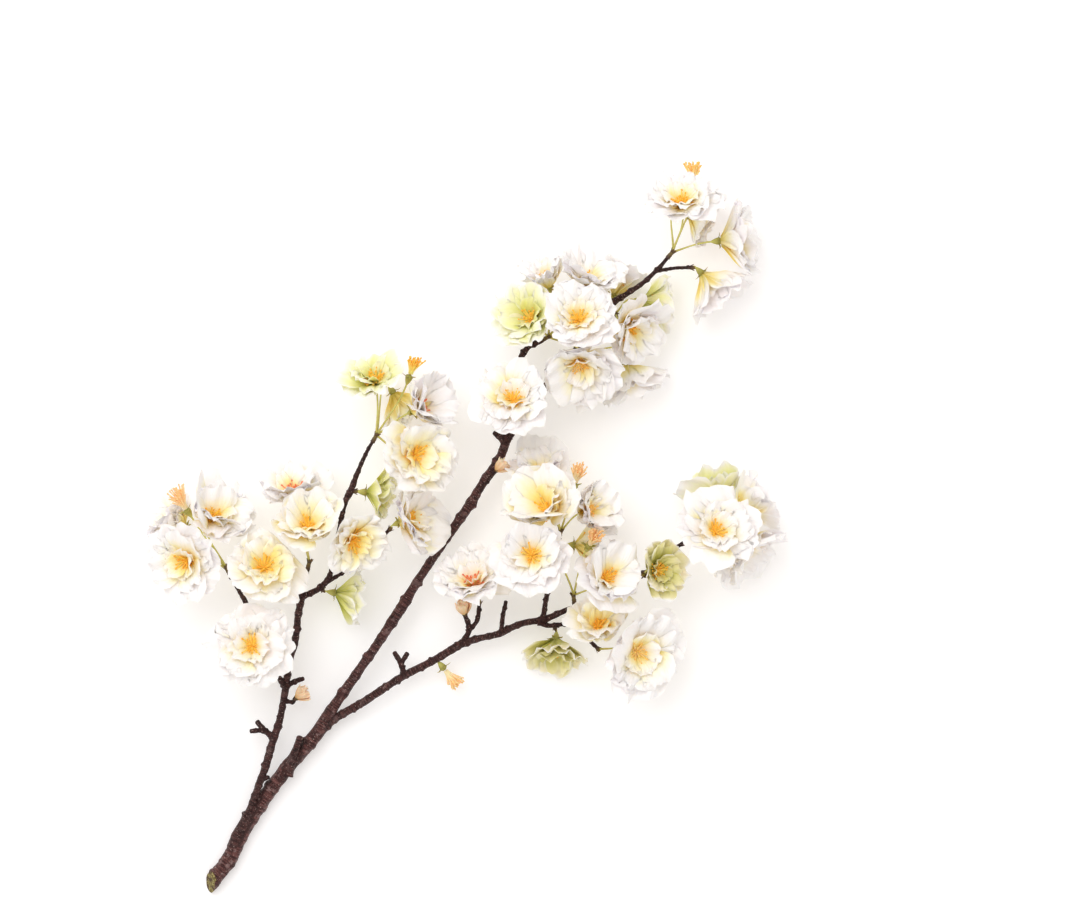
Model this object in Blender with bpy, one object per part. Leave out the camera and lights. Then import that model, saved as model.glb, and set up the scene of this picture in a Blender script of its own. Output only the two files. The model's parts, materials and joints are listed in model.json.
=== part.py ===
"""A cut branch of double blossom, lying on a table, seen from above in its natural growth.

All working sizes are millimetres; the finished meshes are scaled to metres at the end.
+Z is up from the table and +Y runs from the cut end towards the tips.
The wood is one piece. Each flower's petals are one ring of blades, threaded on the
neck of the stalks' node that carries its calyx and stamens.
"""
import math

import bmesh
import bpy
import numpy as np
from mathutils import Matrix

MM = 0.001
FLAT_ENOUGH = math.radians(2)    # facets this close to one plane are joined after a union
SHARP = math.radians(50)         # edges sharper than this stay sharp on wood and stalks

# Driving sizes, in millimetres
BLADE = 0.72           # thickness of a petal
SEPAL = 0.7            # thickness of a sepal at its root
AIR = 0.36             # air between two pieces that lie against each other
END_AIR = 0.6          # air where a stalk leaves a twig's end at a slant
CELL_GAP = 1.2         # room left between the petals of two neighbouring flowers
SOFTNESS = 2.6         # how gently a petal bends away from its neighbour
NECK_RADIUS = 1.0      # stem of the flower, where it passes through the petals' ring
NECK_ABOVE = 0.6       # how far the neck stands out of the ring
CROWN_SHARE = 0.62     # radius of the neck's rounded end against the neck
CROWN_HEIGHT = 1.5     # heights of that rounding and of its top over the ring's middle
SUMMIT_HEIGHT = 1.9
RING_HOLE = 1.62
RING_RADIUS = 2.9
RING_HALF = 0.8        # half the height of that ring
PETAL_ROOT = 2.05      # where a petal starts, from the flower's axis
CALYX_LENGTH = 5.5
CALYX_RADIUS = 2.3
SEPAL_LENGTH = 7.5
SEPAL_DROP = 2.6       # how far a sepal's tip leans back from the ring
STALK_RADIUS = 0.8
STALK_PULL = 12        # longest stretch in which a stalk comes into line with its calyx
SHORT_STALK = 18       # a stalk shorter than this needs one point less
BEAD_RADIUS = 1.9      # knot where the stalks of one cluster meet
BEAD_END = 0.6         # radius of that knot's two ends
BEAD_TURN = 0.3        # turn of the knot, so that its corners miss those of its foot
SPUR_RADIUS = 1.5      # woody spur that carries a cluster
SPUR_END = 1.15
SPUR_LENGTH = 1.6      # how far it stands out of the wood
PEG_RADIUS = 1.1       # green foot of a cluster, from the wood to the knot
PEG_SINK = 0.4         # how far that foot runs past the middle of the knot
KNOT_REACH = 4.5       # from a limb's end to the knot of its cluster
CLEARANCE = CELL_GAP / 2 + BLADE / 2
NEIGHBOUR_REACH = 75   # flowers further apart than this take no notice of each other
FRONT_ROOM = 0.5       # extra share of room for a flower that faces straight up
TUFT_ROOM = 9
TUFT_CENTRE = 3        # from a tuft's place to the middle of the room it takes
CELL_CLOSED = 0.46     # from a flower's place to the middle of its room, as a share of the
CELL_OPEN = 0.30       # petal length, when the flower is closed and when it is wide open
AHEAD = 0.4            # cosine from which a neighbour counts as in front, or as behind
# Extra room, by layer, behind a neighbour ahead of the flower, beside it or behind it
LAYER_ROOM = {
    "sepals": {"front": 4.0, "side": 0.4, "back": 0.0},
    "outer": {"front": 1.7, "side": 0.4, "back": 1.7},
    "inner": {"front": 0.0, "side": 2.1, "back": 3.4},
    "stamens": {"front": 0.8, "side": 3.6, "back": 5.0},
}
TABLE_GIVE = 3.0       # how far below the table a petal's free shape may reach, to be pressed flat
LAID_FLAT = 0.42       # what comes this close to the table lies on it
FIRM_PASSES = 6        # rounds in which a point is moved back behind all its walls
PETALS = 5
INNER_PLACES = {5: (0, 1, 2, 3, 4), 3: (0, 2, 3), 2: (0, 2)}
OUTER_WIDTH = 1.02     # width of a petal as a share of its length
INNER_WIDTH = 1.05
INNER_SHARE = 0.66     # length of an inner petal as a share of an outer one
OUTER_CURL = -0.30     # how far a petal bends over along its length, in radians
INNER_CURL = -0.10
CURL_START = 0.25      # where along a petal that bend starts, as a share of its length
OUTER_RISE = (1.10, 0.22)   # how steeply a petal stands, in radians, closed and wide open
INNER_RISE = (1.28, 0.78)
OUTER_RUFFLE = 1.2
INNER_RUFFLE = 0.9
EDGE_LIFT = 1.5        # how far a petal's sides are raised, which cups it
IMBRICATE = 0.8        # one edge of each petal rides higher than the other
LENGTH_WAVE = 0.05     # how much the petals of one flower differ in length
RISE_WAVE = 0.09       # and in how steeply they stand, in radians
WAVE_STEP = 3.1        # one petal to the next, in the wave that sets those differences
TURN_STEP = 0.35       # one flower to the next, in how far it is turned round its axis
TURNS = 9
STAMEN_SHARE = 0.42    # length of the stamens as a share of the petal length
STAMEN_SPREAD = (0.10, 0.46)   # how far they lean out, closed and wide open
TUFT_SPREAD = 0.32
SHORTER = 0.86         # every second stamen against the longest
INNER_STAMENS = (0, 2, 3)      # facets of the crown that bear a stamen too
SECTOR_GAP = 0.55      # half the room between two petals of one layer
SWIRL = math.radians(18)       # how far the inner petals are turned against the outer ones
FLATTEST = math.radians(2)
STEEPEST_OUTER = math.radians(63)
LAYER_ANGLE = math.radians(17)   # an inner petal stands at least this much steeper
STEEPEST = math.radians(84)
# A crowded petal is raised or lowered in these steps, and shortened in these ones
STEP_ANGLE = math.radians(10)
STEPS = (0, 1, -1, 2, -2, 3, -3, 4, 5, 6, 7)
CUTS = 5
CUT_SHARE = 0.09       # how much shorter with each cut
CUT_COST = 1.7         # steps of rising that are tried before one cut
BENT_BACK = 0.6        # what may still reach past a wall, to be bent back later

# Woody limbs: centre line points with the radius at each, from the thick end outwards
LIMBS = {
    "main": [(-174, -226, 5.9, 6.5), (-162, -210, 5.9, 6.5), (-154, -193, 6.4, 6.8),
             (-140, -172, 7.6, 6.3), (-123, -150, 9.5, 6.0), (-108, -133, 11, 5.8),
             (-98, -117, 12, 4.6), (-84, -97, 13.5, 4.0), (-68, -74, 15.5, 3.9),
             (-53, -51, 17.5, 4.6), (-45, -38, 18.5, 3.6), (-29, -14, 21, 3.3),
             (-11, 12, 23.5, 4.1), (-2, 27, 25, 3.3), (7, 40, 26, 3.5), (12, 53, 27, 4.0)],
    "left_fork": [(12, 52, 27, 3.2), (13, 70, 28, 2.4), (16, 92, 29, 2.1),
                  (24, 108, 31, 2.0), (33, 113, 32, 1.8)],
    "right_fork": [(11, 52, 27, 3.4), (22, 67, 27, 2.8), (33, 81, 27, 2.6),
                   (42, 92, 28, 2.8), (59, 113, 29, 2.2), (76, 135, 31, 2.4),
                   (86, 142, 32, 1.8), (95, 148, 33, 1.5), (105, 157, 34, 1.4),
                   (111, 164, 35, 1.2)],
    "tip_side": [(104, 156, 34, 1.2), (116, 158, 32, 1.1), (126, 158.5, 29, 1.0)],
    "right_branch": [(-109, -134, 10, 4.2), (-95, -122, 10.5, 3.2), (-78, -112, 11.5, 3.1),
                     (-55, -97, 13, 2.8), (-36, -87, 14, 2.8), (-17, -76, 15.5, 2.9),
                     (-5, -72, 16.5, 2.3), (7, -69, 17, 2.4), (20, -63, 18.5, 2.2),
                     (35, -60, 20, 2.3), (47, -55, 22, 1.9), (59, -51, 23, 1.9),
                     (70, -46, 24.5, 1.8), (84, -40, 27, 1.9), (92, -33, 28.5, 2.0),
                     (104, -28, 29.5, 1.6), (114, -17, 30, 1.3), (124, -11, 30.5, 1.2),
                     (131, -8, 31, 1.1)],
    "right_end": [(103, -29, 29.5, 1.4), (111, -27, 29.5, 1.2), (119, -24, 29.5, 1.1)],
    "left_branch": [(-160, -203, 7, 2.8), (-149, -179, 10, 2.5), (-143, -163, 12, 2.6),
                    (-139, -152, 13, 2.8), (-134, -135, 15, 3.0), (-130, -123, 16.5, 2.5),
                    (-128, -113, 18, 2.3), (-126, -102, 19, 2.6), (-124, -88, 21, 2.1),
                    (-120, -74, 22.5, 2.2), (-118, -57, 24, 2.5), (-115, -44, 25, 2.3)],
    "left_spur": [(-116, -46, 25, 1.9), (-114, -37, 27, 1.8), (-112, -29, 28.5, 1.5)],
    "left_right": [(-116, -46, 25, 1.9), (-109, -43, 26, 1.9), (-104, -40, 27, 1.8),
                   (-98, -32, 28.5, 1.6), (-94, -16, 30, 1.5), (-91, 2, 31, 1.6),
                   (-89, 12, 32, 2.0), (-85, 20, 33, 2.2), (-80, 33, 34, 1.4),
                   (-75, 44, 35, 1.2), (-71.5, 50, 35.5, 1.1)],
    "left_second": [(-105, -40, 27, 1.4), (-88, -29, 29, 1.3), (-76, -18, 30, 1.2),
                    (-66, -9, 31, 1.2), (-61, -4, 32, 1.1)],
    "left_hidden": [(-126, -103, 19, 1.9), (-134, -90, 21, 1.8), (-143, -73, 22, 1.7),
                    (-150, -51, 25, 1.7), (-156, -39, 27, 1.5), (-160, -32, 28.5, 1.2)],
    "centre_hidden": [(34, -60, 20, 1.7), (37, -42, 23.5, 1.5), (41, -23, 25, 1.3),
                      (44, -10, 26, 1.1)],
    "stump": [(-124, -158, 11, 2.6), (-120, -147, 13.5, 2.6), (-115.5, -135, 16, 2.2)],
    "fork_stub": [(11, 50, 27, 2.2), (4, 56, 29, 1.8)],
    "cut_twig": [(8, -69, 17, 1.6), (9, -59, 19, 1.4), (11, -49, 20, 1.3)],
    "cross_twig": [(31, -62, 19.5, 1.7), (38, -64, 20, 1.5), (48, -63, 22, 1.4),
                   (58, -63, 24, 1.2)],
    "low_stub": [(55, -63, 23.5, 1.3), (61, -71, 23, 1.2), (68, -78, 23, 1.2)],
    "y_stalk": [(-52, -96, 13.2, 1.9), (-55, -87, 15, 1.7), (-58.5, -81, 16, 1.6)],
    "y_arm": [(-54.5, -88, 15, 1.5), (-50.5, -81.5, 16, 1.5)],
    "elbow": [(-17, -76, 15.5, 1.9), (-12, -67, 17, 1.8), (-14.5, -57, 19, 1.4)],
    "elbow_right": [(-13, -68, 17, 1.5), (-7, -61, 18.5, 1.4), (-5.5, -50, 21, 1.3)],
    "left_stub": [(-134, -134, 15, 2.0), (-140, -129, 16, 1.9), (-144, -124, 17, 1.7)],
    "left_stub_arm": [(-139, -129, 16, 1.6), (-148, -130, 17, 1.5)],
    "right_stub": [(-126, -102, 19, 1.8), (-121, -99, 20, 1.6), (-115, -97, 21, 1.4)],
    "bud_twig": [(-127, -111, 18, 1.5), (-122, -111.5, 19.5, 1.2), (-119.5, -109, 20, 1.1)],
    "bud_stub": [(-11, 13, 23.5, 1.8), (5, 33, 27, 1.3)],
    "left_thorn": [(-142, -160, 12.5, 1.8), (-137, -159, 13.5, 1.3)],
    "fork_thorn": [(40, 90, 28, 1.8), (36, 95, 30, 1.4)],
}
LIMB_SIDES = {"main": 8, "right_branch": 6, "left_branch": 6, "right_fork": 6, "left_fork": 6,
              "left_right": 5, "left_hidden": 5, "stump": 5}
TWIG_SIDES = 4
CUT_SLANT = 0.7        # slope of the cut face at the thick end

# Outline of a closed bud: (share of its length, radius), sunk a little into the wood
BUD_SIDES = 5
BUD_OUTLINE = [(-0.06, 0.9), (0.35, 2.6), (0.7, 1.9), (1.0, 0.4)]
# Closed buds on the wood: base, azimuth and elevation of the tip, length
WOOD_BUDS = {
    "bud_left": ((-119.8, -109.3, 20), (35, 5), 8),
    "bud_twig_end": ((-14.5, -57.4, 19), (100, 12), 8),
    "bud_main": ((4.5, 32.5, 27), (35, 5), 8),
}

# Flowers: place of the ring of petals, (azimuth, elevation) that it faces, petal length,
# how far it is open from 0 to 1, number of inner petals, and its tint
FLOWERS = {
    "tip_1": ((120, 195, 46), (95, 35), 22, 0.75, 5, "white"),
    "tip_2": ((126, 191, 24), (-20, -5), 20, 0.40, 3, "white"),
    "tip_3": ((145, 175, 31), (5, -5), 25, 0.60, 3, "white"),
    "tip_4": ((134, 154, 23), (-45, -8), 26, 0.35, 3, "white"),
    "upper_1": ((28, 125, 42), (130, 55), 22, 0.80, 5, "green"),
    "upper_2": ((37, 147, 30), (105, 12), 20, 0.30, 2, "white"),
    "upper_3": ((56, 124, 56), (85, 65), 24, 0.85, 5, "white"),
    "upper_4": ((59, 146, 36), (75, 30), 23, 0.70, 3, "white"),
    "upper_5": ((57, 101, 44), (-95, 38), 25, 0.70, 5, "white"),
    "upper_6": ((79, 143, 16), (60, -12), 21, 0.55, 3, "cream"),
    "upper_7": ((97, 138, 16), (-10, -18), 21, 0.60, 3, "green"),
    "upper_8": ((85, 123, 33), (-40, 25), 22, 0.60, 3, "cream"),
    "upper_9": ((87, 98, 18), (-70, -8), 25, 0.50, 3, "white"),
    "upper_10": ((16, 75, 48), (95, 62), 25, 0.90, 5, "white"),
    "mid_1": ((-69, 86, 42), (95, 28), 21, 0.80, 3, "green"),
    "mid_2": ((-45, 70, 38), (25, 30), 23, 0.70, 3, "white"),
    "mid_3": ((-46, 42, 46), (20, 60), 26, 0.80, 5, "cream"),
    "mid_4": ((-59, 80, 11.5), (-60, -5), 21, 0.40, 2, "cream"),
    "mid_5": ((-74, 19, 34), (-5, 0), 21, 0.40, 3, "green"),
    "mid_6": ((-53, 1, 36), (20, 25), 25, 0.70, 3, "cream"),
    "mid_7": ((-84, -9, 46), (-45, 55), 21, 0.75, 5, "cream"),
    "mid_8": ((-94, -44, 17), (-10, -5), 20, 0.35, 2, "green"),
    "mid_9": ((-111, -4, 46), (80, 50), 26, 0.80, 5, "cream"),
    "mid_11": ((-120, 16, 31), (95, 20), 22, 0.80, 3, "white"),
    "left_1": ((-184, -22, 47), (200, 62), 24, 0.85, 5, "white"),
    "left_2": ((-190, -2, 17.5), (140, 10), 22, 0.60, 3, "white"),
    "left_3": ((-172, 2, 34), (62, 38), 25, 0.75, 5, "white"),
    "left_4": ((-138, -28, 44), (75, 64), 24, 0.85, 5, "cream"),
    "left_5": ((-145, -76, 44), (90, 80), 26, 0.95, 5, "white"),
    "low_1": ((33, 27, 26), (95, 20), 22, 0.70, 3, "white"),
    "low_2": ((38, 8, 45), (140, 54), 25, 0.80, 5, "cream"),
    "low_3": ((60, 7, 31), (20, 30), 21, 0.60, 3, "cream"),
    "low_4": ((55, -14, 17), (0, -5), 21, 0.60, 2, "cream"),
    "low_5": ((27, -20, 54), (100, 72), 26, 0.95, 5, "white"),
    "low_6": ((-8, -39, 36), (105, 38), 24, 0.70, 3, "cream"),
    "low_7": ((71, -35, 44), (40, 42), 24, 0.65, 3, "white"),
    "low_8": ((68, -65, 36), (80, 50), 19, 0.60, 2, "cream"),
    "low_9": ((42, -74, 16), (-95, 5), 20, 0.50, 3, "green"),
    "low_10": ((91, -79, 34), (-15, 45), 27, 0.85, 5, "white"),
    "low_11": ((103, -29, 40), (0, 52), 19, 0.75, 3, "green"),
    "right_1": ((140, -6, 47), (75, 64), 26, 0.85, 5, "white"),
    "right_2": ((143, 12, 16), (100, -18), 23, 0.60, 3, "green"),
    "right_3": ((157, 6, 24), (40, -12), 23, 0.55, 3, "white"),
    "right_4": ((155, -11, 28), (-50, 22), 24, 0.70, 3, "white"),
}

# Clusters, each with one node of stalks: the limb whose end carries it, or the place and
# radius of the wood that its spur leaves and the knot of the stalks; then what grows there
CLUSTERS = {
    "tip": ("right_fork", None, ("tip_1", "tip_2", "tip_3", "tuft_tip")),
    "upper": ("left_fork", None, ("upper_1", "upper_2", "upper_3", "upper_4", "upper_5")),
    "fork": (((76, 135, 31), 2.4), (79, 130, 25), ("upper_6", "upper_7", "upper_8")),
    "crest": ("left_right", None, ("mid_1", "mid_2", "mid_3", "mid_4", "tuft_crest")),
    "spur": ("left_spur", None, ("mid_9", "mid_11")),
    "left": ("left_hidden", None, ("left_1", "left_2", "left_3", "left_4", "tuft_left")),
    "centre": ("centre_hidden", None, ("low_1", "low_2", "low_3", "low_5", "tuft_centre")),
    "pair": (((54, -53, 22.5), 1.9), (53, -45, 27), ("low_4", "low_7", "tuft_pair")),
    "right": ("right_branch", None, ("right_1", "right_2", "right_3", "right_4")),
    "bend": (((-91.5, -4, 30.6), 1.6), (-90, -5, 35.5), ("mid_7",)),
    "fork_flower": (((12, 60, 27), 3.0), (13, 62, 34), ("upper_10",)),
    "shoulder": (((-143, -73, 22), 1.7), (-144, -77, 28), ("left_5",)),
    "outer": (((96, -31, 29), 1.9), (96, -32, 34), ("low_11",)),
}

# Flowers that stand alone: the limb's end or the wood they stand on. Stalk, calyx and
# stamens are one piece with their petals.
SINGLES = {
    "tip_4": "tip_side",
    "upper_9": ((52, 104.5, 28.6), 2.4),
    "mid_5": ((-86, 20, 33), 2.2),
    "mid_6": "left_second",
    "mid_8": ((-104, -40.5, 27), 1.8),
    "low_6": "elbow_right",
    "low_8": "cross_twig",
    "low_9": ((41, -63.5, 20.5), 1.4),
    "low_10": "low_stub",
}

# Tufts whose petals have dropped: place, direction, length of the stamens
TUFTS = {
    "tuft_tip": ((127, 211, 27), (88, 10), 9),
    "tuft_crest": ((-48, 92, 38), (70, 12), 8),
    "tuft_left": ((-186, 9, 42), (120, 30), 11),
    "tuft_centre": ((54, 25, 40), (75, 30), 9),
    "tuft_pair": ((63, -13, 44), (60, 42), 9),
    "tuft_low": ((-27, -92, 13.5), (-50, 5), 9),
}
WOOD_TUFTS = {"tuft_low": (-33, -86, 14.2)}   # where its stalk leaves the wood

COLOURS = {
    "wood": ((0.060, 0.030, 0.022), 0.62),
    "stalks": ((0.42, 0.46, 0.13), 0.5),
    "white": ((0.90, 0.88, 0.86), 0.55),
    "cream": ((0.90, 0.86, 0.70), 0.55),
    "green": ((0.74, 0.80, 0.42), 0.55),
}


def vec(*values):
    return np.array(values, dtype=float)


def unit(v):
    return v / max(np.linalg.norm(v), 1e-9)


def facing(azimuth, elevation):
    """Unit vector for a compass direction from +X and an angle above the table."""
    a, e = math.radians(azimuth), math.radians(elevation)
    return vec(math.cos(e) * math.cos(a), math.cos(e) * math.sin(a), math.sin(e))


def axes_for(direction):
    """Two directions square to the given one, the first as level as it can be."""
    reference = vec(0, 0, 1) if abs(direction[2]) < 0.95 else vec(0, 1, 0)
    side = unit(np.cross(reference, direction))
    return side, np.cross(direction, side)


def blend(low, high, t):
    return low + (high - low) * t


class Shape:
    """Points and faces of one closed solid."""

    def __init__(self):
        self.points = []
        self.faces = []

    def ring(self, points):
        start = len(self.points)
        self.points += [tuple(p) for p in points]
        return list(range(start, len(self.points)))

    def bridge(self, low, high):
        """Walls between two rings of the same count, faces outward for rising rings."""
        n = len(low)
        for i in range(n):
            j = (i + 1) % n
            self.faces.append((low[i], low[j], high[j]))
            self.faces.append((low[i], high[j], high[i]))

    def cap(self, ring, top):
        face = tuple(ring) if top else tuple(reversed(ring))
        for i in range(1, len(face) - 1):
            self.faces.append((face[0], face[i], face[i + 1]))

    def add(self, other):
        start = len(self.points)
        self.points += other.points
        self.faces += [tuple(i + start for i in face) for face in other.faces]

    def to_object(self, name):
        mesh = bpy.data.meshes.new(name)
        mesh.from_pydata(self.points, [], self.faces)
        mesh.update()
        obj = bpy.data.objects.new(name, mesh)
        bpy.context.scene.collection.objects.link(obj)
        return obj


def tube(points, radii, sides, slant=0.0):
    """A closed tube along the points; slant leans the first end's cut face."""
    shape = Shape()
    path = [vec(*p) for p in points]
    side = None
    rings = []
    for i, p in enumerate(path):
        before = path[max(i - 1, 0)]
        after = path[min(i + 1, len(path) - 1)]
        along = unit(after - before)
        if side is None:
            side, _ = axes_for(along)
        side = unit(side - along * np.dot(side, along))
        up = np.cross(along, side)
        ring = []
        for k in range(sides):
            a = 2 * math.pi * (k + 0.5) / sides
            offset = radii[i] * (math.cos(a) * side + math.sin(a) * up)
            if i == 0:
                offset = offset + along * slant * np.dot(offset, side)
            ring.append(p + offset)
        rings.append(shape.ring(ring))
    shape.cap(rings[0], top=False)
    for low, high in zip(rings, rings[1:]):
        shape.bridge(low, high)
    shape.cap(rings[-1], top=True)
    return shape


def lathe(base, direction, profile, sides, turn=0.0):
    """A closed turned form; the profile is (distance along, radius) from base to tip."""
    shape = Shape()
    side, up = axes_for(direction)
    rings = []
    for along, radius in profile:
        ring = []
        for k in range(sides):
            a = turn + 2 * math.pi * k / sides
            ring.append(base + direction * along
                        + radius * (math.cos(a) * side + math.sin(a) * up))
        rings.append(shape.ring(ring))
    shape.cap(rings[0], top=False)
    for low, high in zip(rings, rings[1:]):
        shape.bridge(low, high)
    shape.cap(rings[-1], top=True)
    return shape


def curve_points(start, start_pull, end_pull, end, steps):
    """Points on a smooth curve from start to end, shaped by two pulls."""
    found = []
    for i in range(steps + 1):
        t = i / steps
        found.append((1 - t) ** 3 * start + 3 * t * (1 - t) ** 2 * start_pull
                     + 3 * t * t * (1 - t) * end_pull + t ** 3 * end)
    return found


def flower_centre(name):
    place, (azimuth, elevation), length, openness, _, _ = FLOWERS[name]
    reach = blend(CELL_CLOSED, CELL_OPEN, openness)
    return vec(*place) + facing(azimuth, elevation) * length * reach


def tuft_centre(name):
    place, aim, _ = TUFTS[name]
    return vec(*place) + facing(*aim) * TUFT_CENTRE


CENTRES = {name: flower_centre(name) for name in FLOWERS}
CENTRES.update({name: tuft_centre(name) for name in TUFTS})


def room_of(name):
    """How much room a flower claims: more when it is large and faces up, less for a tuft."""
    if name in TUFTS:
        return TUFT_ROOM
    _, (_, elevation), length, _, _, _ = FLOWERS[name]
    return length * (1 + FRONT_ROOM * max(0.0, math.sin(math.radians(elevation))))


def walls_round(name, layer):
    """Planes that one layer of a flower stays behind, as (point, normal towards them).

    They lie between this flower and its neighbours, with the table as one more. Each
    layer keeps its own distance, so that the layers lie on each other in their order.
    """
    aim = facing(*(FLOWERS[name] if name in FLOWERS else TUFTS[name])[1])
    own = CENTRES[name]
    room = CLEARANCE + LAYER_ROOM["outer"]["side"]
    planes = [(vec(0, 0, BLADE / 2 - room - TABLE_GIVE), vec(0, 0, -1))]
    for other, centre in CENTRES.items():
        gap = centre - own
        distance = np.linalg.norm(gap)
        if other != name and distance < NEIGHBOUR_REACH:
            share = room_of(name) / (room_of(name) + room_of(other))
            planes.append((own + gap * share, gap / distance))
    walls = []
    for point, normal in planes:
        ahead = float(np.dot(normal, aim))
        place = "front" if ahead > AHEAD else "back" if ahead < -AHEAD else "side"
        walls.append((point - normal * (CLEARANCE + LAYER_ROOM[layer][place]), normal))
    return walls


def give_way(point, walls):
    """Move a point back behind every wall, bending gently and then firmly."""
    p = vec(*point)
    for centre, normal in walls:
        s = float(np.dot(p - centre, normal))
        soft = SOFTNESS * np.logaddexp(0.0, -s / SOFTNESS)
        p = p - normal * (soft + s)
    for _ in range(FIRM_PASSES):
        for centre, normal in walls:
            s = float(np.dot(p - centre, normal))
            if s > 0:
                p = p - normal * s
    p[2] = max(p[2], BLADE / 2)
    return p


# Petal outlines: (share of the length, share of the half width, rise of the fold).
# The root's two corners, a side, the notched or blunt tip, the other side, and last the
# point inside the blade that cups it.
OUTER_BLADE = [(0.0, -1.0, 0.0), (0.0, 1.0, 0.0), (0.62, 1.0, 0.5), (0.95, 0.60, 1.1),
               (0.88, 0.02, -0.9), (1.0, -0.55, 1.0), (0.60, -1.0, 0.4), (0.50, 0.0, -0.8)]
INNER_BLADE = [(0.0, -1.0, 0.0), (0.0, 1.0, 0.0), (0.60, 1.0, 0.5), (0.94, 0.45, -0.5),
               (1.0, -0.45, 0.7), (0.62, -1.0, 0.3), (0.50, 0.0, -0.6)]
# Points of a petal's rim that are tried against the walls: shares along and aside
RIM_TESTED = [(1.0, 0.0), (0.95, 0.6), (0.95, -0.6), (0.6, 1.0), (0.6, -1.0)]


def blade_point(frame, turn, along, aside, length, half_width, rise, curl):
    """A point of a blade's middle surface, and the direction square to the blade there."""
    base, direction, side, up = frame
    outward = math.cos(turn) * side + math.sin(turn) * up
    across = np.cross(direction, outward)
    angle = rise + curl * (along - CURL_START)
    mean = (rise + angle) / 2
    s = along * length
    p = (base + outward * (PETAL_ROOT + s * math.cos(mean)) + direction * s * math.sin(mean)
         + across * aside * half_width)
    normal = direction * math.cos(angle) - outward * math.sin(angle)
    return p, normal


def beyond(points, walls):
    """How far the points reach past the walls."""
    return max(float(np.dot(p - centre, normal)) for p in points for centre, normal in walls)


def settle(frame, turn, length, wide, rise, curl, limits, walls):
    """The rise and the length with which a petal clears its neighbours.

    A crowded petal stands up or lies back first, and grows shorter only then.
    """
    choices = []
    for step in STEPS:
        tried = rise + step * STEP_ANGLE
        if limits[0] <= tried <= limits[1]:
            for cut in range(CUTS):
                cost = abs(step) + CUT_COST * cut
                choices.append((cost, tried, length * (1 - CUT_SHARE * cut)))
    choices.sort(key=lambda choice: choice[0])
    best = None
    for _, tried, reach in choices:
        half = reach * wide / 2
        points = [blade_point(frame, turn, along, aside, reach, half, tried, curl)[0]
                  for along, aside in RIM_TESTED]
        worst = beyond(points, walls)
        if worst < BENT_BACK:
            return tried, reach
        if best is None or worst < best[0]:
            best = (worst, tried, reach)
    return best[1], best[2]


def add_blade(shape, root, outline, frame, turn, settled, wide, curl, walls, ruffle):
    """Grow one petal from the four corners of its place on the ring.

    root holds the corners (top left, top right, low right, low left), seen from outside.
    """
    rise, length = settled
    middle = []
    for along, aside, fold in outline[2:]:
        p, normal = blade_point(frame, turn, along, aside, length, length * wide / 2, rise, curl)
        lift = fold * ruffle + EDGE_LIFT * aside ** 2 * along + IMBRICATE * aside * along
        middle.append(give_way(p + normal * lift, walls))
    inside = len(middle) - 1
    _, upward = blade_point(frame, turn, 0.5, 0.0, length, 1.0, rise, curl)
    normals = [vec(0, 0, 0) for _ in middle]
    root_low = (np.array(shape.points[root[0]]) + np.array(shape.points[root[3]])) / 2
    root_high = (np.array(shape.points[root[1]]) + np.array(shape.points[root[2]])) / 2
    rim = [root_low, root_high] + middle[:inside]
    for i in range(len(rim)):
        j = (i + 1) % len(rim)
        n = np.cross(rim[j] - rim[i], middle[inside] - rim[i])
        normals[inside] = normals[inside] + n
        for k in (i - 2, j - 2):
            if k >= 0:
                normals[k] = normals[k] + n
    sign = 1.0 if np.dot(normals[inside], upward) > 0 else -1.0
    offsets = [unit(n) * sign * BLADE / 2 for n in normals]
    top = [root[0], root[1]] + shape.ring([p + o for p, o in zip(middle, offsets)])
    low = [root[3], root[2]] + shape.ring([p - o for p, o in zip(middle, offsets)])
    top_middle, low_middle = top.pop(), low.pop()
    size = len(top)
    for i in range(size):
        j = (i + 1) % size
        shape.faces.append((top[j], top[i], top_middle))
        shape.faces.append((low[i], low[j], low_middle))
        if i > 0:
            shape.faces.append((low[j], low[i], top[i]))
            shape.faces.append((low[j], top[i], top[j]))


def flower_frame(name):
    """Place, aim and the two square directions of a flower or tuft, and its turn."""
    place, aim = (FLOWERS[name] if name in FLOWERS else TUFTS[name])[:2]
    direction = facing(*aim)
    start = TURN_STEP * (sum(ord(c) for c in name) % TURNS)
    return (vec(*place), direction, *axes_for(direction)), start


def circle(shape, frame, start, radius, height):
    """A ring of five points round the flower's axis."""
    base, direction, side, up = frame
    return shape.ring([base + direction * height
                       + radius * (math.cos(start + 2 * math.pi * k / PETALS) * side
                                   + math.sin(start + 2 * math.pi * k / PETALS) * up)
                       for k in range(PETALS)])


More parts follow.
